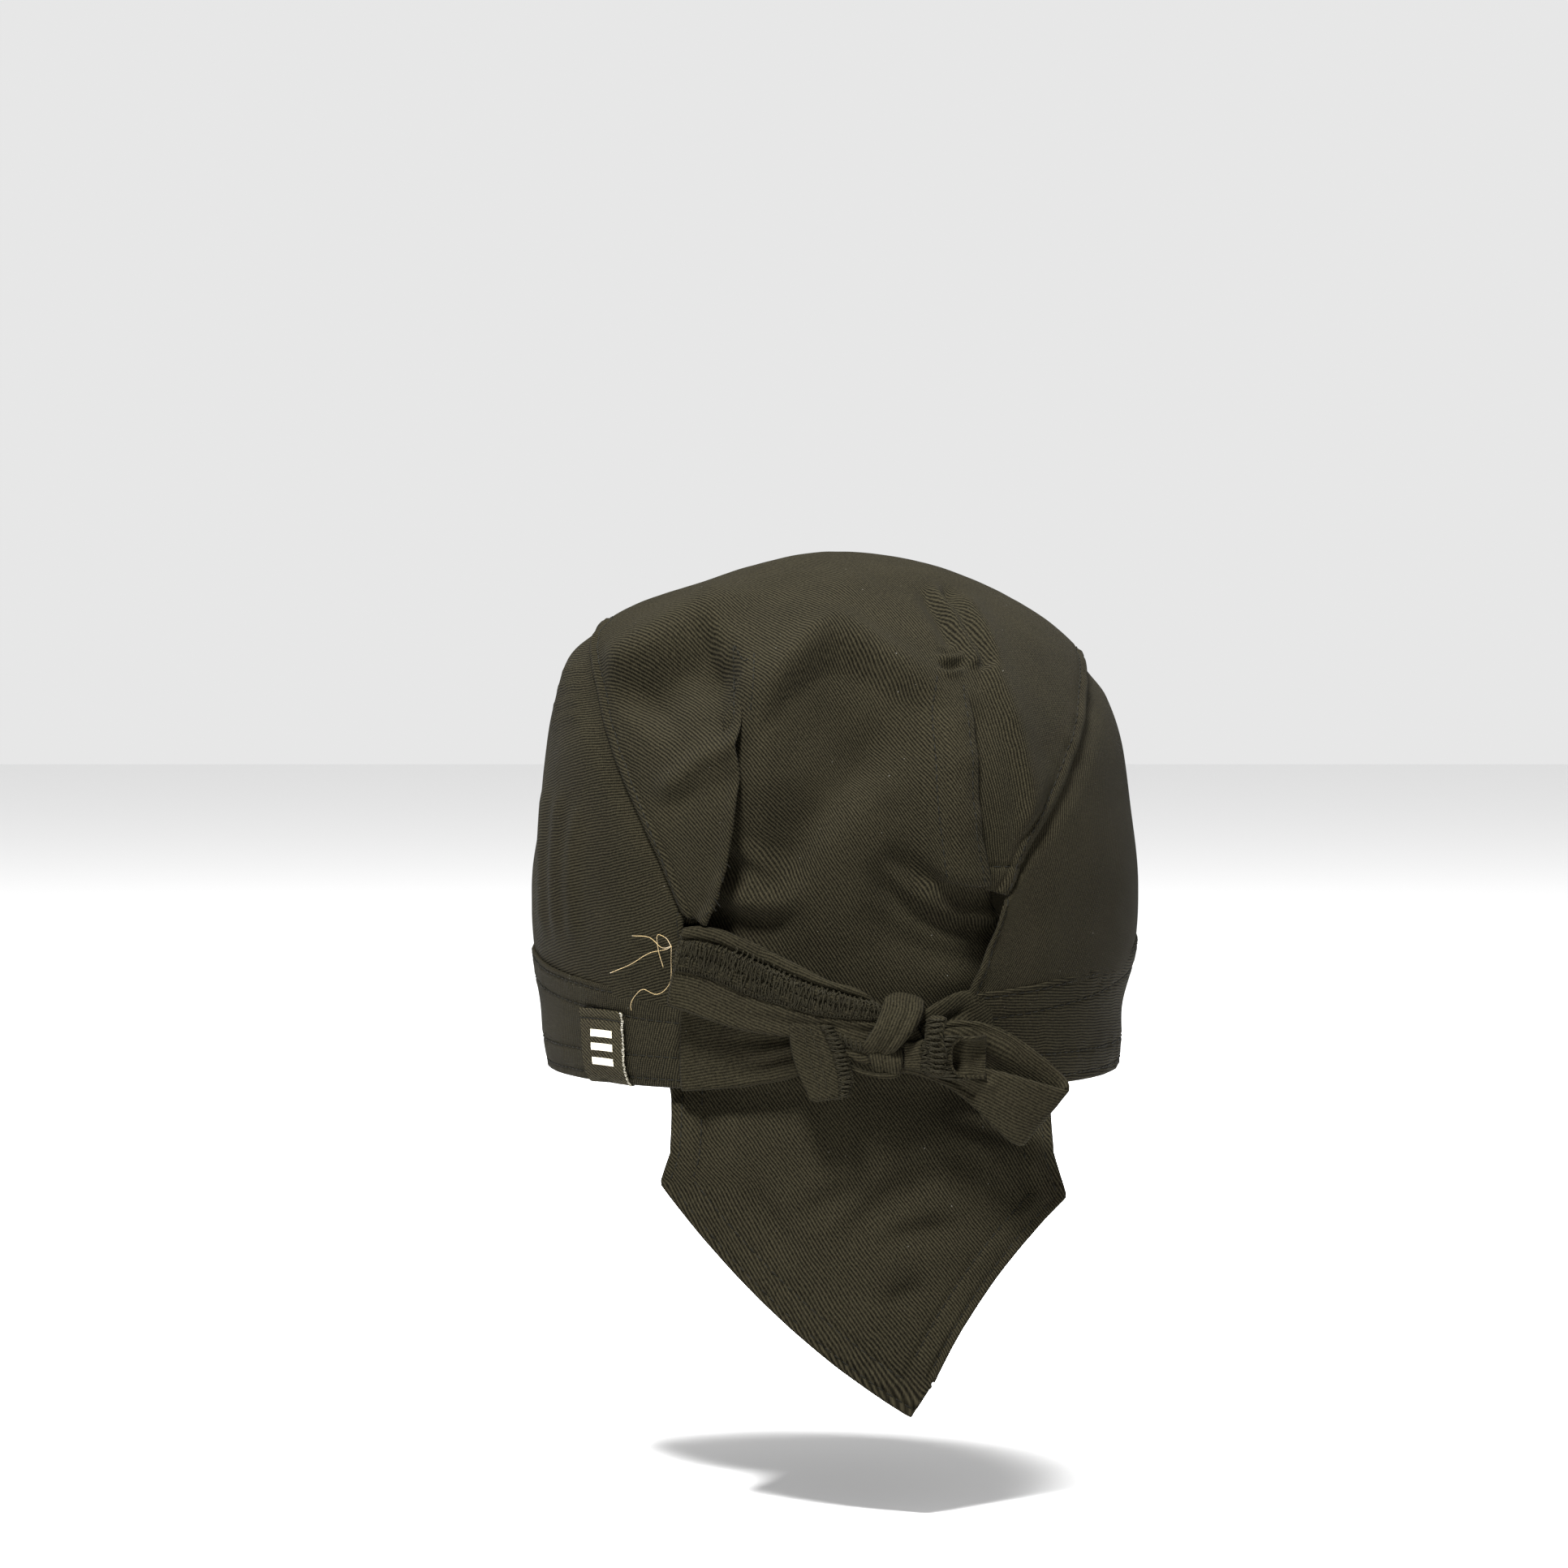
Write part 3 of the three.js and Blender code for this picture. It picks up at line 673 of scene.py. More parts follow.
TAIL_FOLDS = [(path, -depth, 1.3 * width, 1.5 * width, (0.45, 0.45)) for path, depth, width in (
    ([(-30, -20), (-25, -27.5), (-15, -43), (-11, -50)], 2.6, 3.0),
    ([(-13, -39), (-8.6, -35), (2.3, -27.5), (10, -23)], 2.4, 2.8),
    ([(-4, -49), (0.7, -43), (14, -30), (37, -13)], 3.4, 3.4),
    ([(7, -47), (16, -41), (41, -37)], 3.0, 2.8),
    ([(11, -62), (18, -57), (27, -52)], 2.2, 2.4),
    ([(-44, -7), (-37, -13), (-29, -19)], 2.8, 3.4),
)]
HEM, HEM_EDGE = 7.3, 1.7  # from the tail's edge to its two rows of stitches


def tail_edges():
    """The tail's four edges, seen from behind."""
    share = np.linspace(0, 1, 7)[:, None]
    return [
        [TAIL_LEFT_EDGE[0], TAIL_LEFT_TOP, (-45.3, -8), (-45, 4)],
        bow(*TAIL_LEFT_EDGE, share)[::-1],
        bow(*TAIL_RIGHT_EDGE, share),
        [(58.3, 4), (58.8, -6), TAIL_RIGHT_TOP, TAIL_RIGHT_EDGE[0]],
    ]


def tail_relief(x, z, points):
    """The tail's soft folds, and its hem with two rows of stitches."""
    move = folds(x, z, TAIL_FOLDS)
    nearest = np.min([np.abs(near_path(x, z, edge)[0]) for edge in tail_edges()], axis=0)
    wave = noise(points, 4.5, 41)
    relief = 0.9 * (1 - smoothstep(nearest, HEM - 0.4, HEM + 0.9))
    relief -= 1.0 * bell((nearest - HEM) / 0.8) + 0.8 * bell((nearest - HEM_EDGE) / 0.7)
    relief += 0.5 * wave * bell((nearest - 5) / 4)
    return (move + relief) * smoothstep(-z, -6, 4)


def run_lengths(block):
    """Distances along each row of a grid from its first column, and from its last."""
    steps = np.linalg.norm(np.diff(block, axis=1), axis=-1)
    first = np.concatenate([np.zeros((len(block), 1)), np.cumsum(steps, axis=1)], axis=1)
    return first, first[:, -1:] - first


def seam_relief(gap, points, stitch, seed):
    """A folded seam allowance: a raised strip as wide as stitch, a groove along its stitches and puckers."""
    wave = noise(points, 5.5, seed)
    strip = 0.55 * (1 - smoothstep(gap, stitch - 0.6, stitch + 0.9))
    edge = -0.8 * (1 - smoothstep(gap, 0, 1.6))
    groove = -0.6 * bell((gap - stitch) / 0.75)
    pucker = 0.55 * wave * bell((gap - stitch) / 3.4)
    return strip + edge + groove + pucker


def hem_stitches(shape, points, normals):
    """Two rows of stitches round the tail, each at its distance inside the edges."""
    low = points[..., 2].ravel() < 4
    points, normals = points.reshape(-1, 3)[low], normals.reshape(-1, 3)[low]
    for gap in (HEM, HEM_EDGE):
        for edge in tail_edges():
            path = smooth_path(edge, 60)
            step = unit(np.gradient(path, axis=0))
            inward = np.stack([step[:, 1], -step[:, 0]], axis=1)
            if inward[30] @ (np.array([5, -30]) - path[30]) < 0:
                inward = -inward
            path = path + inward * gap
            room = [min(abs(near_path(*spot, other)[0]) for other in tail_edges()) for spot in path]
            stitch_row(shape, *laid_on(points, normals, path[np.array(room) > gap - 0.3], 60))


def make_crown(cloth, thread):
    blocks = crown_blocks()
    sizes = [block[..., 0].size for block in blocks]
    firsts = np.cumsum([0, *sizes])
    points = np.concatenate([block.reshape(-1, 3) for block in blocks])
    strip = np.repeat(np.arange(4), sizes)
    runs = [run_lengths(block) for block in blocks]
    from_left, from_right = (np.concatenate([run[k].ravel() for run in runs]) for k in range(2))
    faces = np.concatenate([grid_faces(*block.shape[:2], first) for block, first in zip(blocks, firsts)])
    _, index, same = np.unique(points.round(3), axis=0, return_index=True, return_inverse=True)
    same = same.ravel()
    weave = crown_weave(blocks)[index]
    strip, from_left, from_right = strip[index], from_left[index], from_right[index]
    points = points[index]
    faces, normals = facing_out(points, same[faces])
    x, y, z = points.T
    behind = smoothstep(-y, 5, 45) * smoothstep(z, -20, 0)
    outer = strip != MIDDLE
    left_gap = np.where(outer & (strip != RIGHT_LOBE), from_left, 99)
    right_gap = np.where(outer & (strip != LEFT_LOBE), from_right, 99)
    move = folds(x, z, BACK_FOLDS) * behind * smoothstep(np.minimum(left_gap, right_gap), 1, 9)
    move = move * np.where(outer, 1, smoothstep(z, 98, 116))
    centre = smoothstep(x, -31, -24) * (1 - smoothstep(x, 30, 37))
    inside = np.where(strip == MIDDLE, 1, np.where(strip == TOP, centre, 0))
    pinned = lerp(1, 1 - smoothstep(x, 23, 35), smoothstep(z, 53, 62))
    pinned = pinned * lerp(1, smoothstep(x, -30, -20), smoothstep(z, 92, 108))
    move -= hollow(x, z) * behind * inside * smoothstep(z, 18, 40) * pinned
    held = smoothstep(z, 20, 30)
    to_left, to_right = x - left_slit(z), right_slit(z) - x
    below_left, below_right = smoothstep(-z, -112, -96), smoothstep(-z, -111, -101)
    in_middle = (strip == MIDDLE) * held
    move -= 3.2 * in_middle * (1 - smoothstep(to_left, -2, 8)) * below_left
    move += 0.9 * in_middle * (1 - smoothstep(to_right, 1, 9)) * below_right
    move -= 2.2 * (strip == RIGHT_LOBE) * (1 - smoothstep(-to_right, 1, 8)) * below_right
    move += 1.2 * (strip == LEFT_LOBE) * (1 - smoothstep(-to_left, 0.5, 4)) * below_left
    ruffle = (strip == LEFT_LOBE) * (1 - smoothstep(-to_left, 0, 7)) * (1 - smoothstep(z, 56, 68))
    move += 1.6 * ruffle * noise(points, 4.5, 23)
    move += (strip == MIDDLE) * tail_relief(x, z, points)
    move += seam_relief(left_gap, points, SEAM_STITCH, 31) * (left_gap < 20)
    move += seam_relief(right_gap, points, SEAM_STITCH, 32) * (right_gap < 20)
    dart = in_middle * below_right
    move += dart * seam_relief(to_right, points, DART_STITCHES[0], 33) * (to_right < 20)
    move -= dart * 0.6 * bell((to_right - DART_STITCHES[1]) / 0.8)
    move -= (strip == RIGHT_LOBE) * 0.6 * bell((z - RIGHT_LOBE_END - RIGHT_LOBE_HEM) / 0.8)
    move += 0.5 * noise(points, 34, 3) + 0.24 * noise(points, 13, 5) + 0.1 * noise(points, 5, 8)
    points = points + normals * move[:, None]
    shape = Shape()
    normals = thicken(shape, points, faces, turned(weave, -55), CLOTH)
    grids = []
    for block, first, size in zip(blocks, firsts, sizes):
        spots = same[first:first + size]
        grids.append((points[spots].reshape(block.shape), normals[spots].reshape(block.shape)))
    crown_stitches(shape, grids)
    piece = make_piece("crown_and_tail", shape, [cloth, thread])
    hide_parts("crown_panel", "back_panel", "tail_flap")
    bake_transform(piece)


def crown_stitches(shape, grids):
    """The topstitching beside the seams and darts, and round the tail's hem."""
    top, left_lobe, middle, right_lobe = grids
    seam_column = SEAM_STITCH / COLUMN
    for points, normals in (top, left_lobe):
        stitch_row(shape, *trace(points, normals, column=seam_column))
    for points, normals in (top, right_lobe):
        stitch_row(shape, *trace(points, normals, column=points.shape[1] - 1 - seam_column))
    frayed(shape, left_lobe[0][-20:-4:5, -1], (0.5, -0.6, -0.6), 9, 3.4, 27)
    points, normals = middle
    columns = points.shape[1] - 1
    rows = round(58 / ROW)
    for gap in DART_STITCHES:
        stitch_row(shape, *trace(points[:rows], normals[:rows], column=columns - gap / COLUMN))
    hem = [(x, RIGHT_LOBE_END + RIGHT_LOBE_HEM) for x in (42.5, 50)]
    stitch_row(shape, *laid_on(*[grid.reshape(-1, 3) for grid in right_lobe], hem))
    back = [np.concatenate([top[k][-30:].reshape(-1, 3), middle[k].reshape(-1, 3)]) for k in range(2)]
    for path in LEFT_DART_STITCHES:
        stitch_row(shape, *laid_on(*back, path))
    hem_stitches(shape, points, normals)


def crown_weave(blocks):
    """Cloth coordinates in millimetres: distances from the top, and for the middle strip straight down."""
    def flat(points):
        d = unit(points - HUB)
        polar = np.arccos(np.clip(d[..., 2], -1, 1)) * 97
        azimuth = np.arctan2(d[..., 0], -d[..., 1])
        return np.stack([polar * np.sin(azimuth), -polar * np.cos(azimuth)], axis=-1)

    result = []
    for part, block in enumerate(blocks):
        if part != MIDDLE:
            result.append(flat(block))
            continue
        start = flat(block[:1])
        run = lengths_along(block[:, block.shape[1] // 2])[:, None]
        across = start[..., 0] + block[..., 0] - block[:1, :, 0]
        result.append(np.stack([across, start[..., 1] - run], axis=-1))
    return np.concatenate([part.reshape(-1, 2) for part in result])


# ---- The side panels ----
SIDE_HEM = 2.8  # from a side panel's back edge to its stitches
SIDE_TIP = 0.985  # the share of the seam at which a side panel ends


SIDE_FOLDS = (  # the left side panel's, in the same form as the crown's
    ([(-83.6, 86), (-84.6, 62), (-84, 36)], 1.6, 1.6, 1.6, (0.2, 0.2)),
    ([(-79, 84), (-80.4, 60), (-80, 36)], 1.5, 1.8, 1.8, (0.2, 0.2)),
    ([(-73, 80), (-75.5, 58), (-75, 36)], 1.2, 2.0, 2.0, (0.2, 0.2)),
    *(([(-84, z - 3), (-78, z), (-72, z + 1)], 0.9, 1.3, 1.3, (0.2, 0.2)) for z in (102, 106.5, 111, 115)),
)


def make_side_panel(name, node, seam, band_end, wales, cloth, thread):
    right = seam[0][0] > 0
    columns, rows = 190, 64
    forward = np.linspace(0, SIDE_TIP, columns + 1)
    foot = lerp(band_end - (2.2 if right else 0), SEAM_FOOT if right else -SEAM_FOOT, forward)
    low = cap_at(foot, band_top(foot) - 4)
    high = seam_at(seam, forward)
    up = np.linspace(0, 1, rows + 1)[:, None]
    d = arc_between((low - HUB)[None], (high - HUB)[None], np.broadcast_to(up, (rows + 1, columns + 1)))
    points = on_cap(d).reshape(-1, 3)
    faces, normals = facing_out(points, grid_faces(rows + 1, columns + 1))
    x, y, z = points.T
    move = -1.5 * smoothstep(np.repeat(up, columns + 1, axis=1).ravel(), 0.86, 0.97)
    move += 0.7 * noise(points, 30, 11 if right else 12) + 0.25 * noise(points, 12, 4)
    run = np.broadcast_to(lengths_along(low), (rows + 1, columns + 1))
    from_edge = run.ravel()
    move += seam_relief(from_edge, points, SIDE_HEM, 35 if right else 36) * (from_edge < 15)
    if not right:
        move += folds(x, z, SIDE_FOLDS) * smoothstep(-y, 0, 20)
    points = points + normals * move[:, None]
    climb = run_lengths(points.reshape(rows + 1, columns + 1, 3).swapaxes(0, 1))[0].T
    weave = np.stack([run if right else -run, climb], axis=-1).reshape(-1, 2)
    shape = Shape()
    normals = thicken(shape, points, faces, turned(weave, wales), CLOTH)
    column = np.interp(SIDE_HEM, run[0], np.arange(columns + 1))
    grid, ups = (v.reshape(rows + 1, columns + 1, 3) for v in (points, normals))
    stitch_row(shape, *trace(grid, ups, column=column))
    piece = make_piece(name, shape, [cloth, thread])
    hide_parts(node)
    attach(piece, "cap")


# ---- The headband, the sweatband inside it and the woven label ----
BAND_ROWS = (
    lambda azimuth: band_top(azimuth) - 0.9,
    lambda azimuth: band_top(azimuth) - 7,
    lambda azimuth: np.full(np.shape(azimuth), 8.3),
    lambda azimuth: np.full(np.shape(azimuth), 2.0),
)
BAND_JOIN = 262  # where the band's two lengths meet, in degrees from the nape
LINING_INSET, LINING_CLOTH = 2.4, 0.9


def ring_grid(azimuth, low, high, rows, out):
    """A grid round the cap between two heights, moved out from its surface, and its cloth coordinates."""
    up = np.linspace(0, 1, rows + 1)[:, None]
    points = cap_at(np.broadcast_to(azimuth, (rows + 1, len(azimuth))), lerp(low, high, up))
    away = unit(points * np.array([1, 1, 0]))
    points = points + away * out
    run = lengths_along(points[0])
    return points, np.stack([np.broadcast_to(run, points.shape[:2]), points[..., 2]], axis=-1)


def make_band(cloth, thread):
    columns, rows = 460, 46
    azimuth = np.linspace(BAND_RIGHT_END, 360 + BAND_LEFT_END, columns + 1)
    grid, weave = ring_grid(azimuth, 0, band_top(azimuth)[None], rows, 0)
    steep = (azimuth > BAND_JOIN)[None, :, None]
    weave = np.where(steep, turned(weave, 72), turned(weave, -3)).reshape(-1, 2)
    points = grid.reshape(-1, 3)
    faces, normals = facing_out(points, grid_faces(rows + 1, columns + 1))
    spots = np.broadcast_to(azimuth, grid.shape[:2]).ravel()
    height = points[:, 2]
    from_end = np.minimum(np.abs(spots - BAND_RIGHT_END), np.abs(spots - 360 - BAND_LEFT_END)) * 1.75
    move = 0.6 + 0.5 * noise(points, 26, 21) + 0.15 * noise(points, 8, 22)
    pucker = noise(points * np.array([1, 1, 0.4]), 3.6, 23)
    for row in BAND_ROWS:
        gap = np.abs(height - row(spots))
        move += 0.3 * pucker * bell(gap / 2.4) - 0.34 * bell(gap / 0.65)
    move -= 0.5 * bell((from_end - 2.2) / 0.8) + 0.5 * (1 - smoothstep(from_end, 0, 1.2))
    move -= 0.6 * bell((spots - BAND_JOIN) * 1.6 / 0.8)
    points = points + normals * move[:, None]
    shape = Shape()
    normals = thicken(shape, points, faces, weave, BAND_CLOTH)
    grid, normals = points.reshape(grid.shape), normals.reshape(grid.shape)
    along = np.linspace(1.6, columns - 1.6, 900)
    at = np.interp(along, np.arange(columns + 1), azimuth)
    for row in BAND_ROWS:
        stitch_row(shape, *spots_on(grid, normals, row(at) / band_top(at) * rows, along))
    for column in (1.9, columns - 1.9):
        stitch_row(shape, *spots_on(grid, normals, np.linspace(1, rows - 1, 60), np.full(60, column)))
    piece = make_piece("headband_cloth", shape, [cloth, thread])
    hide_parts("headband")
    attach(piece, "cap")


def make_sweatband(cloth, thread):
    columns, rows = 300, 24
    azimuth = np.linspace(BAND_RIGHT_END + 0.6, 360 + BAND_LEFT_END - 0.6, columns + 1)
    top = band_top(azimuth) - 3.9
    grid, weave = ring_grid(azimuth, 1.6, top[None], rows, -LINING_INSET)
    points = grid.reshape(-1, 3)
    faces, normals = facing_out(points, grid_faces(rows + 1, columns + 1))
    share = np.repeat(np.linspace(0, 1, rows + 1), columns + 1)
    move = 0.25 * noise(points, 16, 51) + 0.12 * noise(points, 5, 52)
    move += 0.3 * bell((share - 0.93) / 0.03) + 0.3 * bell((share - 0.06) / 0.03)
    points = points + normals * move[:, None]
    shape = Shape()
    normals = thicken(shape, points, faces, turned(weave, 45).reshape(-1, 2), LINING_CLOTH)
    inner, inward = (points - normals * LINING_CLOTH).reshape(grid.shape), -normals.reshape(grid.shape)
    for row in (0.06, 0.93):
        stitch_row(shape, *trace(inner, inward, row=row * rows))
    piece = make_piece("sweatband_cloth", shape, [cloth, thread])
    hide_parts("sweatband")
    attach(piece, "cap")


LABEL_LEFT, LABEL_RIGHT, LABEL_TOP, LABEL_CLOTH = -51.5, -38.5, 20, 0.5
LABEL_BARS, BAR_HALF = (6.6, 10.6, 14.6), 1.2  # how far down the label each bar is, and half its height


def make_label(cloth, print_thread, thread):
    """The woven label, folded under the band's lower edge, with three plain woven bars for its motif."""
    columns, rows = 56, 96
    azimuth = np.linspace(LABEL_LEFT, LABEL_RIGHT, columns + 1)
    path = smooth_path([(LABEL_TOP, 1.75), (14, 1.6), (7, 1.5), (2, 1.3), (0.2, 0.9), (-0.9, -0.4),
                        (-0.6, -1.6), (1.2, -2.0)], rows + 1)
    around = cap_at(azimuth[None], np.maximum(path[:, :1], 0))
    out = path[:, 1:] + 0.5 * np.linspace(0, 1, columns + 1)[None] ** 3 * smoothstep(path[:, :1], 0, 8)
    grid = around + unit(around * np.array([1, 1, 0])) * out[..., None]
    grid[..., 2] = path[:, :1] + 0.3 * np.sin(np.linspace(0, 3, columns + 1))[None]
    across = np.linspace(0, 16, columns + 1)[None]
    along = lengths_along(path)[:, None]
    across, along = np.broadcast_arrays(across, along)
    points = grid.reshape(-1, 3)
    faces, normals = facing_out(points, grid_faces(rows + 1, columns + 1))
    bar = np.zeros(across.shape, bool)
    for place in LABEL_BARS:
        bar |= (np.abs(along - place) < BAR_HALF) & (across > 4) & (across < 12.4)
    tack = bell((along - 2.6) / 0.6)
    move = 0.12 * bar - 0.3 * tack + 0.12 * noise(grid, 5, 61) + 0.05 * noise(grid, 1.2, 62)
    points = points + normals * move.reshape(-1, 1)
    shape = Shape()
    weave = np.stack([across, along], axis=-1).reshape(-1, 2)
    in_bar = bar.ravel()[faces].all(1)
    normals = thicken(shape, points, faces, turned(weave, 38), LABEL_CLOTH)
    shape.slots[:len(faces)] = np.where(in_bar, 1, 0).tolist()
    grid, normals = points.reshape(grid.shape), normals.reshape(grid.shape)
    seam = np.linspace(0.5, columns - 0.5, 30)
    low = np.full(30, 2.6 / along.max() * rows)
    path, ups = spots_on(grid, normals, low, seam)
    tube(shape, path + ups * 0.05, 0.16, slot=2)
    random = np.random.default_rng(3)
    count = 150
    places = np.linspace(0, rows * 0.86, count)
    swing = np.where(np.arange(count) % 2, 0.6, -0.3) + random.uniform(-0.25, 0.25, count)
    path, ups = spots_on(grid, normals, places, np.full(count, float(columns)))
    side = unit(grid[:, -1] - grid[:, 0])[np.clip(places.astype(int), 0, rows)]
    lift = 0.15 + 0.2 * random.uniform(0, 1, count)
    tube(shape, path + side * swing[:, None] + ups * lift[:, None], 0.13, 4, 1)
    piece = make_piece("label_cloth", shape, [cloth, print_thread, thread])
    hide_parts("woven_label")
    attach(piece, "cap")


# ---- The ties and their knot ----
def strap(shape, left, right, wales, relief=None, *, seed, thickness=1.7, bulge=0.6, step=0.7, rough=1.0):
    """A strip of cloth between two edges, pillowed across; relief(along, across, points) moves its face."""
    middle = (smooth_path(left, 60) + smooth_path(right, 60)) / 2
    length = np.linalg.norm(np.diff(middle, axis=0), axis=1).sum()
    columns = max(8, round(length / step))
    first, second = smooth_path(left, columns + 1), smooth_path(right, columns + 1)
    width = np.linalg.norm(second - first, axis=1)
    rows = max(8, round(width.mean() / step))
    across = np.linspace(0, 1, rows + 1)[:, None]
    grid = lerp(first[None], second[None], across[..., None])
    points = grid.reshape(-1, 3)
    faces = grid_faces(rows + 1, columns + 1)
    normals = vertex_normals(points, faces)
    along = np.broadcast_to(np.linspace(0, length, columns + 1), (rows + 1, columns + 1))
    across = np.broadcast_to(across, along.shape)
    pillow = bulge * (1 - np.abs(2 * across - 1) ** 3).ravel()
    move = pillow / 2 + rough * (0.3 * noise(points, 7, seed) + 0.14 * noise(points, 2.6, seed + 1))
    if relief:
        move = move + relief(along, across, grid).ravel()
    weave = np.stack([along, (across - 0.5) * width[None]], axis=-1).reshape(-1, 2)
    points = points + normals * move[:, None]
    normals = thicken(shape, points, faces, turned(weave, wales), thickness + pillow)
    return points.reshape(grid.shape), normals.reshape(grid.shape)


def wrinkles(*paths):
    """A relief of long wrinkles, each a path of (along, share across), a height and a width."""
    def relief(along, across, grid):
        width = np.linalg.norm(grid[-1] - grid[0], axis=-1).mean()
        move = np.zeros(along.shape)
        for path, height, flank in paths:
            spots = [(a, b * width) for a, b in path]
            move += fold(along, across * width, spots, height, flank, flank, (0.3, 0.05))
        return move

    return relief


def finish_strap(name, shape, cloth, threads, nodes, swing=None):
    parts = split_off(shape, (1, 2)) if max(shape.slots) > 0 else [shape]
    pieces = [make_piece(name + ending, part, [cloth, *threads])
              for part, ending in zip(parts, ("", "_threads"))]
    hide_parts(*nodes)
    for piece in pieces:
        if swing:
            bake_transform(piece)
        else:
            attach(piece, "cap")


def make_left_strap(cloth, threads):
    shape = Shape()
    lower = [(-43.5, -89.2, -0.3), (-38.7, -91.5, 0.2), (-26, -96, 1.6), (-14, -99.8, 4), (-3, -102, 8.6),
             (6, -102.5, 12)]
    upper = [(-43.5, -89.2, 24), (-38.7, -91.5, 24), (-26, -96.5, 24), (-14, -100, 22.8),
             (-2, -102.5, 20.5), (6, -103, 19)]
    relief = wrinkles(
        ([(12, 0.12), (30, 0.3), (50, 0.5)], -1.3, 1.5),
        ([(16, 0.3), (32, 0.42), (50, 0.55)], 1.0, 1.7),
        ([(8, 0.55), (28, 0.55), (50, 0.6)], -1.1, 1.6),
        ([(20, 0.8), (34, 0.72), (50, 0.66)], 0.9, 1.6),
        ([(2, 0.95), (5, 0.5), (2, 0.05)], -0.6, 1.2),
    )
    strap(shape, lower, upper, 8, relief, seed=71)
    finish_strap("left_strap", shape, cloth, threads, ["left_tie"])


def make_right_strap(cloth, threads):
    shape = Shape()
    upper = [(20, -101.5, 20.5), (24.6, -100.5, 22.3), (28, -99, 24), (34, -94.6, 26.6), (38.6, -92, 27),
             (42.5, -89.5, 27)]
    lower = [(18, -101, 11), (22, -100.5, 11), (27, -98.5, 9.4), (34, -94.4, 7.2), (39, -92, 6.2),
             (43.5, -89, 5.8)]
    relief = wrinkles(
        ([(22, 0.8), (12, 0.66), (1, 0.6)], -1.3, 1.3),
        ([(22, 0.6), (12, 0.55), (1, 0.5)], 1.0, 1.3),
        ([(22, 0.35), (12, 0.42), (1, 0.42)], -1.2, 1.5),
    )
    strap(shape, lower, upper, 30, relief, seed=73)
    finish_strap("right_strap", shape, cloth, threads, ["right_tie"])


def make_knot(cloth, threads):
    """The knot's heart: one short length of strap crumpled into a ball, and the turn of strap over it."""
    middle, radii = np.array([14.5, -102.8, 15]), np.array([8.6, 4.2, 9.0])
    turns, rings = 44, 30
    polar = np.linspace(0, math.pi, rings + 1)[1:-1, None]
    around = np.linspace(0, 2 * math.pi, turns, endpoint=False)[None]
    level = np.sin(polar)
    d = np.stack(np.broadcast_arrays(level * np.cos(around), level * np.sin(around), np.cos(polar)), axis=-1)
    crease = np.sin(d[..., 0] * 9 + d[..., 2] * 6 + 2 * noise(d, 0.7, 81))
    spots = middle + d * radii * (1 + 0.1 * crease + 0.12 * noise(d, 0.45, 82))[..., None]
    points = np.concatenate([spots.reshape(-1, 3), [middle + [0, 0, radii[2]], middle - [0, 0, radii[2]]]])
    k = np.arange((rings - 1) * turns).reshape(rings - 1, turns)
    side = np.roll(k, -1, axis=1)
    faces = np.stack([k[:-1], k[1:], side[1:], side[:-1]], axis=-1).reshape(-1, 4).tolist()
    first = len(points) - 2
    faces += [[first, k[0, j], side[0, j]] for j in range(turns)]
    faces += [[first + 1, side[-1, j], k[-1, j]] for j in range(turns)]
    shape = Shape()
    shape.add(points, faces, turned(points[:, [0, 2]], 30))
    core = make_piece("knot_heart", shape, [cloth, *threads])
    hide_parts("knot_core")
    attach(core, "cap")

    shape = Shape()
    left = [(14.5, -99.5, 27.2), (13, -104, 26.3), (12, -107.8, 23.5), (9.8, -110.2, 18.4), (7.2, -109, 14),
            (5.6, -106, 11.8), (5.4, -102.5, 11)]
    right = [(23.6, -99.5, 25.4), (23.6, -104, 24.8), (23.2, -107.8, 22), (20.6, -110.6, 17.6),
             (17, -110, 13.2), (14.3, -107.6, 10.6), (13, -104.5, 9.8)]
    relief = wrinkles(
        ([(1, 0.3), (12, 0.34), (24, 0.5)], -0.6, 0.9),
        ([(1, 0.62), (12, 0.66), (26, 0.6)], -0.7, 0.9),
        ([(4, 0.85), (14, 0.86), (22, 0.8)], 0.5, 1.0),
    )
    strap(shape, left, right, 4, relief, seed=84, bulge=2.2, rough=0.7, step=0.6)
    left = [(8.2, -105, 14), (8.4, -108, 11.5), (9, -108.6, 8.6), (10, -107.2, 6.0), (10.6, -104, 5.2)]
    right = [(17.4, -105, 14.8), (17.6, -108.4, 11), (17.4, -109, 8), (16.6, -107.4, 5.2),
             (16.2, -104, 4.8)]
    strap(shape, left, right, 6, wrinkles(([(1, 0.4), (6, 0.45), (12, 0.4)], -0.6, 0.8)), seed=86, bulge=1.4,
          rough=0.7, step=0.6, thickness=1.2)
    rim = [(2.4, -105.6, 7.6), (6, -107.2, 6.2), (11, -108, 5.2), (16.2, -107.6, 5.4), (17.2, -107, 8)]
    tube(shape, smooth_path(rim, 30), 0.75 + 0.1 * np.sin(np.linspace(0, 12, 30)), 8, 0)
    finish_strap("knot_turn", shape, cloth, threads, ["knot_wrap"])


# The long end's overlocked strip, as shares of its width from the lower edge at shares of the way along.
SERGED_LOW = smooth_curve([(0, 0.47), (0.25, 0.45), (0.5, 0.42), (0.75, 0.45), (1, 0.7)])
SERGED_HIGH = smooth_curve([(0, 0.84), (0.35, 0.82), (0.6, 0.82), (0.8, 0.9), (1, 0.97)])


def serged_middle(share):
    return (SERGED_LOW(share) + SERGED_HIGH(share)) / 2
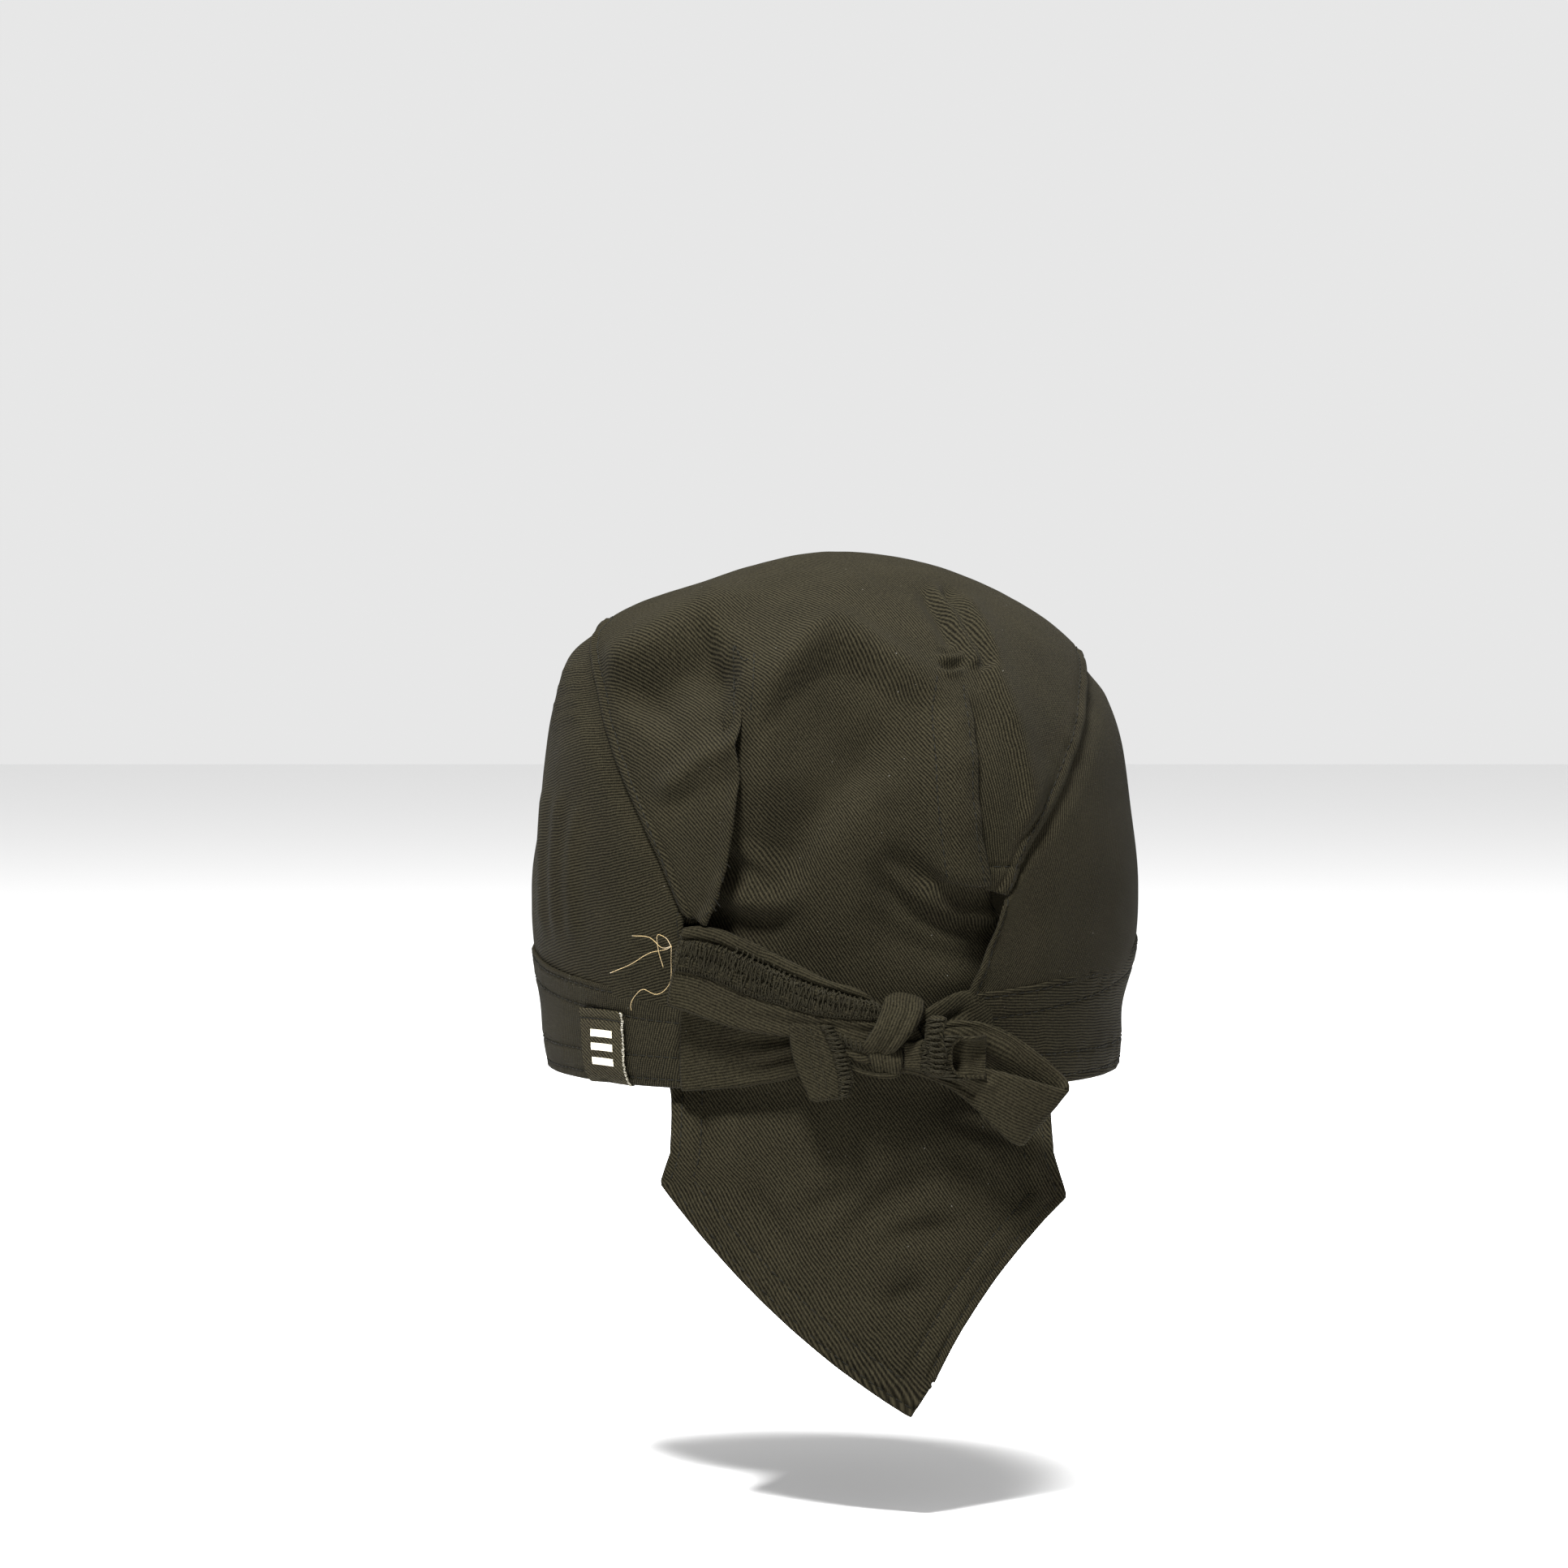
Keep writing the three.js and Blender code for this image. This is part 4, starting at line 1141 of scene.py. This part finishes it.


# Each swing holds a joint's moving body and two places, in metres, where a piece starts and ends;
# finish_strap only checks that one is given, and then bakes the piece's transform instead of attaching it to
# the cap.
LEFT_SWING = ("left_ends", (0.006, -0.107, 0.02), (-0.006, -0.107, 0.02))
RIGHT_SWING = ("right_ends", (0.019, -0.107, 0.01), (0.027, -0.107, 0.01))


def make_long_end(cloth, threads):
    shape = Shape()
    lower = [(-47.2, -96.4, 24.2), (-40, -98.8, 22), (-27.8, -103, 18.2), (-15.8, -106, 16.6),
             (-0.3, -107.6, 15), (9.5, -106.5, 13.8), (14, -105, 14)]
    upper = [(-42.6, -97.4, 44.8), (-37.5, -98.6, 45.2), (-31, -100, 43.8), (-17.5, -104, 38),
             (-3.8, -107, 31.2), (8.3, -107, 26), (14, -105, 23.5)]
    wide = [([(4, 0.1), (30, 0.16), (58, 0.3)], -0.5, 1.6), ([(20, 0.3), (40, 0.3), (60, 0.45)], 0.6, 1.6)]

    def relief(along, across, grid):
        share = along / along.max()
        low, high = SERGED_LOW(share), SERGED_HIGH(share)
        width = np.linalg.norm(grid[-1] - grid[0], axis=-1)[None]
        in_zone = smoothstep((across - low) * width, -0.5, 0.6)
        in_zone = in_zone * smoothstep((high - across) * width, -0.3, 0.5)
        lumps = 0.55 * noise(grid, 1.5, 91) + 0.3 * noise(grid, 0.9, 92)
        groove = bell(((across - high) * width - 0.5) / 0.6)
        line = bell(((across - low) * width + 0.5) / 0.5)
        crest = bell(((across - (low + high) / 2) * width) / 1.0)
        strip = smoothstep((across - high) * width, 0.6, 1.5)
        serging = in_zone * (0.7 + lumps - 0.35 * crest) - 1.1 * groove - 0.45 * line + 0.5 * strip
        return serging + wrinkles(*wide)(along, across, grid)

    grid, normals = strap(shape, lower, upper, -6, relief, seed=94, step=0.5, rough=0.7)
    overlock(shape, grid, normals, SERGED_LOW, SERGED_HIGH, 1.5, 1)
    overlock(shape, grid, normals, SERGED_LOW, serged_middle, 1.1, 2)
    overlock(shape, grid, normals, serged_middle, SERGED_HIGH, 1.2, 3, 0.2)
    overlock(shape, grid, normals, lambda s: SERGED_LOW(s) - 0.03, lambda s: SERGED_LOW(s) + 0.04,
             0.9, 4, 0.16)
    overlock(shape, grid, normals, lambda s: SERGED_HIGH(s) - 0.05, lambda s: SERGED_HIGH(s) + 0.07,
             1.7, 5, 0.26, span=(0.25, 0.95))
    frayed(shape, grid[3:-3, 0], (-1, -0.2, 0.2), 16, 1.6, 6)
    rows = grid.shape[0] - 1
    for share, seed in ((0.52, 41), (0.6, 42), (0.68, 43), (0.76, 44)):
        frayed(shape, trace(grid, normals, row=share * rows)[0][6:-6], (0.2, -1, 0.3), 34, 1.7, seed, 0.1)
    corner = np.array([-46.2, -98.6, 40.2])
    for path in (
        [(-48, 38.8), (-52.5, 37.6), (-57.9, 34.1), (-63.8, 31.2)],
        [(-48, 42.2), (-50.2, 42.8), (-50, 38.6), (-48.6, 33.7)],
        [(-49.2, 39.4), (-52.5, 42), (-57.4, 42.2)],
        [(-46.4, 36), (-46.6, 30), (-48.6, 27), (-51, 26), (-54.4, 27.2), (-57, 24.8), (-58, 22.5),
         (-57.8, 21)],
    ):
        x, z = np.array(path).T
        out = np.stack([x, back_of_cap(x, z) - 2.2, z], axis=1)
        tube(shape, smooth_path([corner, *out], 36), 0.085, 5, 2)
    finish_strap("long_end", shape, cloth, threads, ["long_tie_end"], LEFT_SWING)


def make_short_end(cloth, threads):
    shape = Shape()
    left = [(-13.4, -106.6, 18.6), (-12.9, -106.4, 13), (-11.6, -106.2, 7.6), (-9.8, -106.2, 3),
            (-7.8, -106.2, -1.6)]
    right = [(-2, -107, 19), (1.2, -107.4, 14), (3, -107.8, 8.5), (3.6, -107.8, 4), (2.8, -107.2, -0.6)]

    def relief(along, across, grid):
        ridge = bell((across - 0.86) / 0.09)
        return ridge * (0.9 + 0.6 * noise(grid, 1.4, 97)) + 0.5 * bell((across - 0.1) / 0.1)

    grid, normals = strap(shape, left, right, 55, relief, seed=98, step=0.5, rough=0.9)
    for share in (0.3, 0.47):
        stitch_row(shape, *trace(grid, normals, row=share * (grid.shape[0] - 1)))
    for seed in range(11, 14):
        overlock(shape, grid, normals, 0.74, 0.99, 1.25, seed, 0.19)
    frayed(shape, grid[-1], (1, -0.3, -0.3), 26, 2.2, 15)
    frayed(shape, grid[2:-2, -1], (0.3, -0.3, -1), 12, 1.8, 16)
    bunch_low = [(-3, -106, 14.6), (2, -107.4, 11), (6, -107.6, 8.8), (11, -106.6, 8)]
    bunch_high = [(-6, -106, 18.5), (1, -107.4, 17), (6, -107.8, 14.8), (11, -106.6, 14)]
    crease = wrinkles(([(1, 0.5), (8, 0.4), (15, 0.5)], -0.9, 0.9))
    grid, normals = strap(shape, bunch_low, bunch_high, 20, crease, seed=99, thickness=1.2, step=0.5,
                          rough=1.6)
    for seed in range(17, 20):
        overlock(shape, grid, normals, lambda share: 0.25 + 0.3 * share, 0.95, 1.4, seed, 0.18)
    finish_strap("short_end", shape, cloth, threads, ["short_tie_end"], LEFT_SWING)


def make_cut_end(cloth, threads):
    """The end cut off short: an open sleeve of cloth with a frayed, overlocked seam on its near side."""
    shape = Shape()
    columns, turns = 44, 56
    angle = np.linspace(0, 2 * math.pi, turns + 1)

    def squashed(v):
        return np.sign(v) * np.abs(v) ** 0.62

    along = np.linspace(0, 1, columns + 1)[None]
    near = np.clip(-np.sin(angle), 0, 1)[:, None]
    length = along * (1 - 0.44 * near ** 0.6)
    x = lerp(18.5, 40.2, length)
    spread = lerp(0.62, 1, smoothstep(length, 0, 0.55))
    height = lerp(10.4, 10.6, length) + squashed(np.cos(angle))[:, None] * 6.1 * spread
    depth = lerp(-106.5, -111.2, smoothstep(length, 0, 0.75))
    depth = depth + squashed(np.sin(angle))[:, None] * 2.9 * spread
    grid = np.stack([x, depth, height], axis=-1)
    grid[..., 1] = np.minimum(grid[..., 1] + 0.8 * noise(grid, 5, 101), -103.8)
    grid[..., 2] += 0.6 * noise(grid, 4, 102)
    ridge = fold(grid[..., 0], grid[..., 2], [(35, 4), (34.6, 10), (35.2, 17)], 1.3, 1.2, 1.6, (0.1, 0.1))
    grid[..., 1] -= ridge * (np.sin(angle)[:, None] > 0)
    points = grid[:-1].reshape(-1, 3)
    k = np.arange(turns * (columns + 1)).reshape(turns, columns + 1)
    after = np.roll(k, -1, axis=0)
    faces = np.stack([k[:, :-1], k[:, 1:], after[:, 1:], after[:, :-1]], axis=-1).reshape(-1, 4)
    if ((points - grid.reshape(-1, 3).mean(0)) * vertex_normals(points, faces)).sum() < 0:
        faces = faces[:, ::-1]
    girth = lengths_along(grid[:, columns // 2])
    weave = np.stack(np.broadcast_arrays(length * 22, girth[:, None]), axis=-1)[:-1]
    normals = thicken(shape, points, faces, turned(weave, 8).reshape(-1, 2), 1.1)
    grid, normals = (v.reshape(turns, columns + 1, 3) for v in (points, normals))
    bottom, top = turns // 2 + 3, turns - 3
    front, ups = grid[bottom:top], normals[bottom:top]
    for seed in range(21, 26):
        overlock(shape, front.swapaxes(0, 1), ups.swapaxes(0, 1), 0.35, 0.97, 1.3, seed, 0.2)
    frayed(shape, front[:, -1], (0.8, -0.8, 0.1), 22, 1.7, 27)
    ruffle_left = [(24.2, -110, 20.6), (23.6, -111.6, 16), (24.4, -112, 11), (24, -111, 6.6)]
    ruffle_right = [(29.6, -111.4, 21.4), (28.6, -113.4, 16), (29.6, -113.8, 11), (29.2, -112.4, 6)]
    grid, normals = strap(shape, ruffle_left, ruffle_right, 40, seed=28, thickness=1.0, bulge=1.4, step=0.5,
                          rough=2.4)
    for seed in range(29, 32):
        overlock(shape, grid, normals, 0.05, 0.95, 1.5, seed, 0.2)
    frayed(shape, grid[-1], (0.5, -1, 0.1), 16, 1.6, 33)
    finish_strap("cut_end", shape, cloth, threads, ["cut_tie_end"], RIGHT_SWING)


def make_loop(cloth, threads):
    shape = Shape()
    lower = [(15, -104, 6), (21, -105.4, 5.4), (30.6, -107.8, 1.8), (37.5, -108.6, -3.4),
             (43.5, -108.4, -9), (48, -107.2, -13), (51.4, -104.6, -14.4), (50.6, -101, -12), (44, -98, -6),
             (36, -97.4, 0), (27, -98.4, 5), (18, -101, 8)]
    upper = [(15, -104, 13), (22, -106.4, 11.6), (31, -108.6, 8.4), (39.2, -109.8, 6.4),
             (45.2, -109.6, 5.6), (54, -108.2, 3), (63.6, -104.2, 0.4), (62.6, -102.6, 3.6),
             (55.5, -103.4, 10.4), (45, -104.2, 17.4), (36, -104, 20), (24, -102.5, 18.6)]
    relief = wrinkles(
        ([(4, 0.3), (14, 0.32), (26, 0.25)], -0.9, 1.5),
        ([(4, 0.6), (16, 0.62), (30, 0.7)], 0.8, 1.8),
        ([(4, 0.8), (14, 0.9), (28, 0.94)], -0.7, 1.2),
        ([(64, 0.75), (74, 0.8), (88, 0.6)], -1.2, 2.0),
        ([(60, 0.95), (72, 0.93), (88, 0.85)], 0.8, 1.4),
    )
    strap(shape, lower, upper, 0, relief, seed=111, thickness=1.5, rough=0.8)
    finish_strap("loop", shape, cloth, threads, ["bow_loop"], RIGHT_SWING)


# ---- Materials ----
class Nodes:
    """A material's node tree, with short ways to add nodes to it."""

    def __init__(self, name):
        self.material = bpy.data.materials.new(name)
        self.material.use_nodes = True
        self.tree = self.material.node_tree
        self.shader = self.tree.nodes["Principled BSDF"]

    def add(self, kind, **settings):
        node = self.tree.nodes.new(kind)
        for key, value in settings.items():
            setattr(node, key, value)
        return node

    def plug(self, socket, value):
        if isinstance(value, bpy.types.NodeSocket):
            self.tree.links.new(value, socket)
        else:
            socket.default_value = value

    def math(self, operation, *values):
        node = self.add("ShaderNodeMath", operation=operation)
        for socket, value in zip(node.inputs, values):
            self.plug(socket, value)
        return node.outputs[0]

    def wave(self, turns):
        """A sine wave from 0 to 1, with one wave for each turn."""
        sine = self.math("SINE", self.math("MULTIPLY", turns, 2 * math.pi))
        return self.math("MULTIPLY_ADD", sine, 0.5, 0.5)

    def bump(self, height, strength, distance):
        node = self.add("ShaderNodeBump")
        node.inputs["Strength"].default_value = strength
        node.inputs["Distance"].default_value = distance
        self.plug(node.inputs["Height"], height)
        self.plug(self.shader.inputs["Normal"], node.outputs[0])

    def noise(self, vector, scale, detail=2.0, roughness=0.5):
        node = self.add("ShaderNodeTexNoise")
        self.plug(node.inputs["Vector"], vector)
        node.inputs["Scale"].default_value = scale
        node.inputs["Detail"].default_value = detail
        node.inputs["Roughness"].default_value = roughness
        return node.outputs["Fac"]

    def ramp(self, value, *stops):
        node = self.add("ShaderNodeValToRGB")
        while len(node.color_ramp.elements) < len(stops):
            node.color_ramp.elements.new(0.5)
        for element, (place, color) in zip(node.color_ramp.elements, stops):
            element.position = place
            element.color = (*color, 1)
        self.plug(node.inputs["Fac"], value)
        return node.outputs["Color"]

    def mix(self, share, a, b, blend="MIX"):
        node = self.add("ShaderNodeMix", data_type="RGBA", blend_type=blend)
        self.plug(node.inputs["Factor"], share)
        self.plug(node.inputs["A"], a)
        self.plug(node.inputs["B"], b)
        return node.outputs["Result"]


WALE, YARN = 0.00084, 0.0006  # metres between the twill's wales, and between the yarns along one


def twill(name, color, relief=1.0, ridges=0.66):
    """Cotton twill: diagonal wales made of short slanted yarns, faintly mottled, with pale fibre ends."""
    n = Nodes(name)
    place = n.add("ShaderNodeTexCoord")
    uv = n.add("ShaderNodeUVMap", uv_map="weave").outputs[0]
    split = n.add("ShaderNodeSeparateXYZ")
    n.plug(split.inputs[0], uv)
    u, v = split.outputs[0], split.outputs[1]
    drift = n.noise(uv, 110, 2.0)
    v = n.math("ADD", v, n.math("MULTIPLY", drift, 0.0012))
    row = n.math("DIVIDE", v, WALE)
    wale = n.wave(row)
    column = n.math("ADD", n.math("DIVIDE", u, YARN), n.math("MULTIPLY", row, 0.42))
    yarn = n.wave(column)
    height = n.math("MULTIPLY", n.math("POWER", wale, 0.7), n.math("MULTIPLY_ADD", yarn, 0.3, 0.7))
    fibres = n.noise(uv, 5200, 3.0, 0.7)
    height = n.math("ADD", height, n.math("MULTIPLY", fibres, 0.5))
    patches = n.noise(place.outputs["Object"], 55, 4.0, 0.6)
    grains = n.noise(uv, 1300, 3.0, 0.65)
    strand = n.math("MULTIPLY", n.math("POWER", wale, 1.3), n.math("MULTIPLY_ADD", yarn, 0.35, 0.65))
    tone = n.math("MULTIPLY_ADD", strand, ridges, n.math("ADD", grains, -0.17 - 0.36 * ridges))
    tone = n.math("ADD", tone, n.math("MULTIPLY_ADD", patches, 0.24, -0.105))
    dark = tuple(0.3 * c for c in color)
    light = tuple(3.3 * c for c in color)
    shade = n.ramp(tone, (0.05, dark), (1.0, light))
    lint = n.math("GREATER_THAN", n.noise(place.outputs["Object"], 900, 1.0), 0.815)
    shade = n.mix(n.math("MULTIPLY", lint, 0.3), shade, (0.12, 0.115, 0.1, 1))
    n.plug(n.shader.inputs["Base Color"], shade)
    n.shader.inputs["Roughness"].default_value = 0.86
    n.shader.inputs["Specular IOR Level"].default_value = 0.012
    n.shader.inputs["Sheen Weight"].default_value = 0.005
    n.shader.inputs["Sheen Roughness"].default_value = 0.42
    n.shader.inputs["Sheen Tint"].default_value = (0.9, 0.86, 0.78, 1)
    n.bump(height, 0.7 * relief, 0.00028)
    return n.material


def yarn(name, color, sheen=0.2):
    """Sewing thread: a faint twist along it and a little variation from place to place."""
    n = Nodes(name)
    place = n.add("ShaderNodeTexCoord").outputs["Object"]
    tone = n.noise(place, 2400, 2.0)
    dark = tuple(0.6 * c for c in color)
    light = tuple(1.5 * c for c in color)
    n.plug(n.shader.inputs["Base Color"], n.ramp(tone, (0.3, dark), (0.7, light)))
    n.shader.inputs["Roughness"].default_value = 0.7
    n.shader.inputs["Specular IOR Level"].default_value = 0.03
    n.shader.inputs["Sheen Weight"].default_value = sheen
    n.bump(tone, 0.5, 0.0001)
    return n.material


# ---- Light, floor and camera ----
SENSOR = 36
CAMERA_AWAY = 1801  # millimetres from the camera to its target
VIEW_WIDTH = 458.85  # millimetres across the picture at that distance


def make_camera():
    data = bpy.data.cameras.new("camera")
    data.sensor_width = SENSOR
    camera = bpy.data.objects.new("camera", data)
    bpy.context.scene.collection.objects.link(camera)
    camera.location = Vector((-15, -1800, 149.5)) * MM
    target = Vector((-15, 0, 81.5)) * MM
    camera.rotation_euler = (target - camera.location).to_track_quat("-Z", "Y").to_euler()
    data.lens = SENSOR / VIEW_WIDTH * CAMERA_AWAY
    bpy.context.scene.camera = camera


FLOOR_HALF, FLOOR_GAP = 6, 0.03  # metres: half the floor's width, and from the cap's lowest point down to it


def make_stage():
    size, low = FLOOR_HALF, cad_box[0][2] - FLOOR_GAP
    mesh = bpy.data.meshes.new("floor")
    corners = [(-size, -size, low), (size, -size, low), (size, size, low), (-size, size, low)]
    mesh.from_pydata(corners, [], [(0, 1, 2, 3)])
    floor = bpy.data.objects.new("floor", mesh)
    bpy.context.scene.collection.objects.link(floor)
    n = Nodes("floor_paint")
    n.shader.inputs["Base Color"].default_value = (0.85, 0.85, 0.85, 1)
    n.shader.inputs["Roughness"].default_value = 0.9
    mesh.materials.append(n.material)


def make_lights():
    world = bpy.data.worlds.new("world")
    bpy.context.scene.world = world
    world.use_nodes = True
    world.node_tree.nodes["Background"].inputs["Color"].default_value = (1, 1, 1, 1)
    world.node_tree.nodes["Background"].inputs["Strength"].default_value = 0.8
    bpy.context.scene.view_settings.view_transform = "Standard"
    middle = Vector((0, 0, 0.06))
    for name, place, size, power in (
        ("key", (-0.25, -0.85, 1.35), 0.3, 150),
        ("top", (0.1, 0.2, 1.6), 0.7, 80),
    ):
        light = bpy.data.lights.new(name, "AREA")
        light.size = size
        light.energy = power
        lamp = bpy.data.objects.new(name, light)
        lamp.location = place
        lamp.rotation_euler = (middle - lamp.location).to_track_quat("-Z", "Y").to_euler()
        bpy.context.scene.collection.objects.link(lamp)


make_camera()
make_stage()
make_lights()
black = (0.0053, 0.0046, 0.0027)
crown_twill = twill("crown_twill", black)
side_twill = twill("side_twill", black)
band_twill = twill("band_twill", black)
strap_twill = twill("strap_twill", tuple(1.05 * c for c in black), relief=0.85, ridges=0.42)
lining = twill("lining", tuple(1.5 * c for c in black), relief=0.7)
label_weave = twill("label_weave", tuple(1.8 * c for c in black), relief=1.3)
label_thread = yarn("label_thread", (0.3, 0.28, 0.22))
thread = yarn("thread", (0.0042, 0.004, 0.003), sheen=0.0)
serging = yarn("serging", (0.0062, 0.0054, 0.0031), sheen=0.0)
tan_thread = yarn("tan_thread", (0.16, 0.115, 0.05))
make_crown(crown_twill, thread)
make_side_panel("left_side_cloth", "left_side_panel", LEFT_SEAM, BAND_LEFT_END, 16, side_twill, thread)
make_side_panel("right_side_cloth", "right_side_panel", RIGHT_SEAM, BAND_RIGHT_END, 57, side_twill, thread)
make_band(band_twill, thread)
make_sweatband(lining, thread)
make_label(label_weave, label_thread, thread)
strap_threads = [serging, tan_thread]
for make in (make_left_strap, make_right_strap, make_knot, make_long_end, make_short_end, make_cut_end,
             make_loop):
    make(strap_twill, strap_threads)
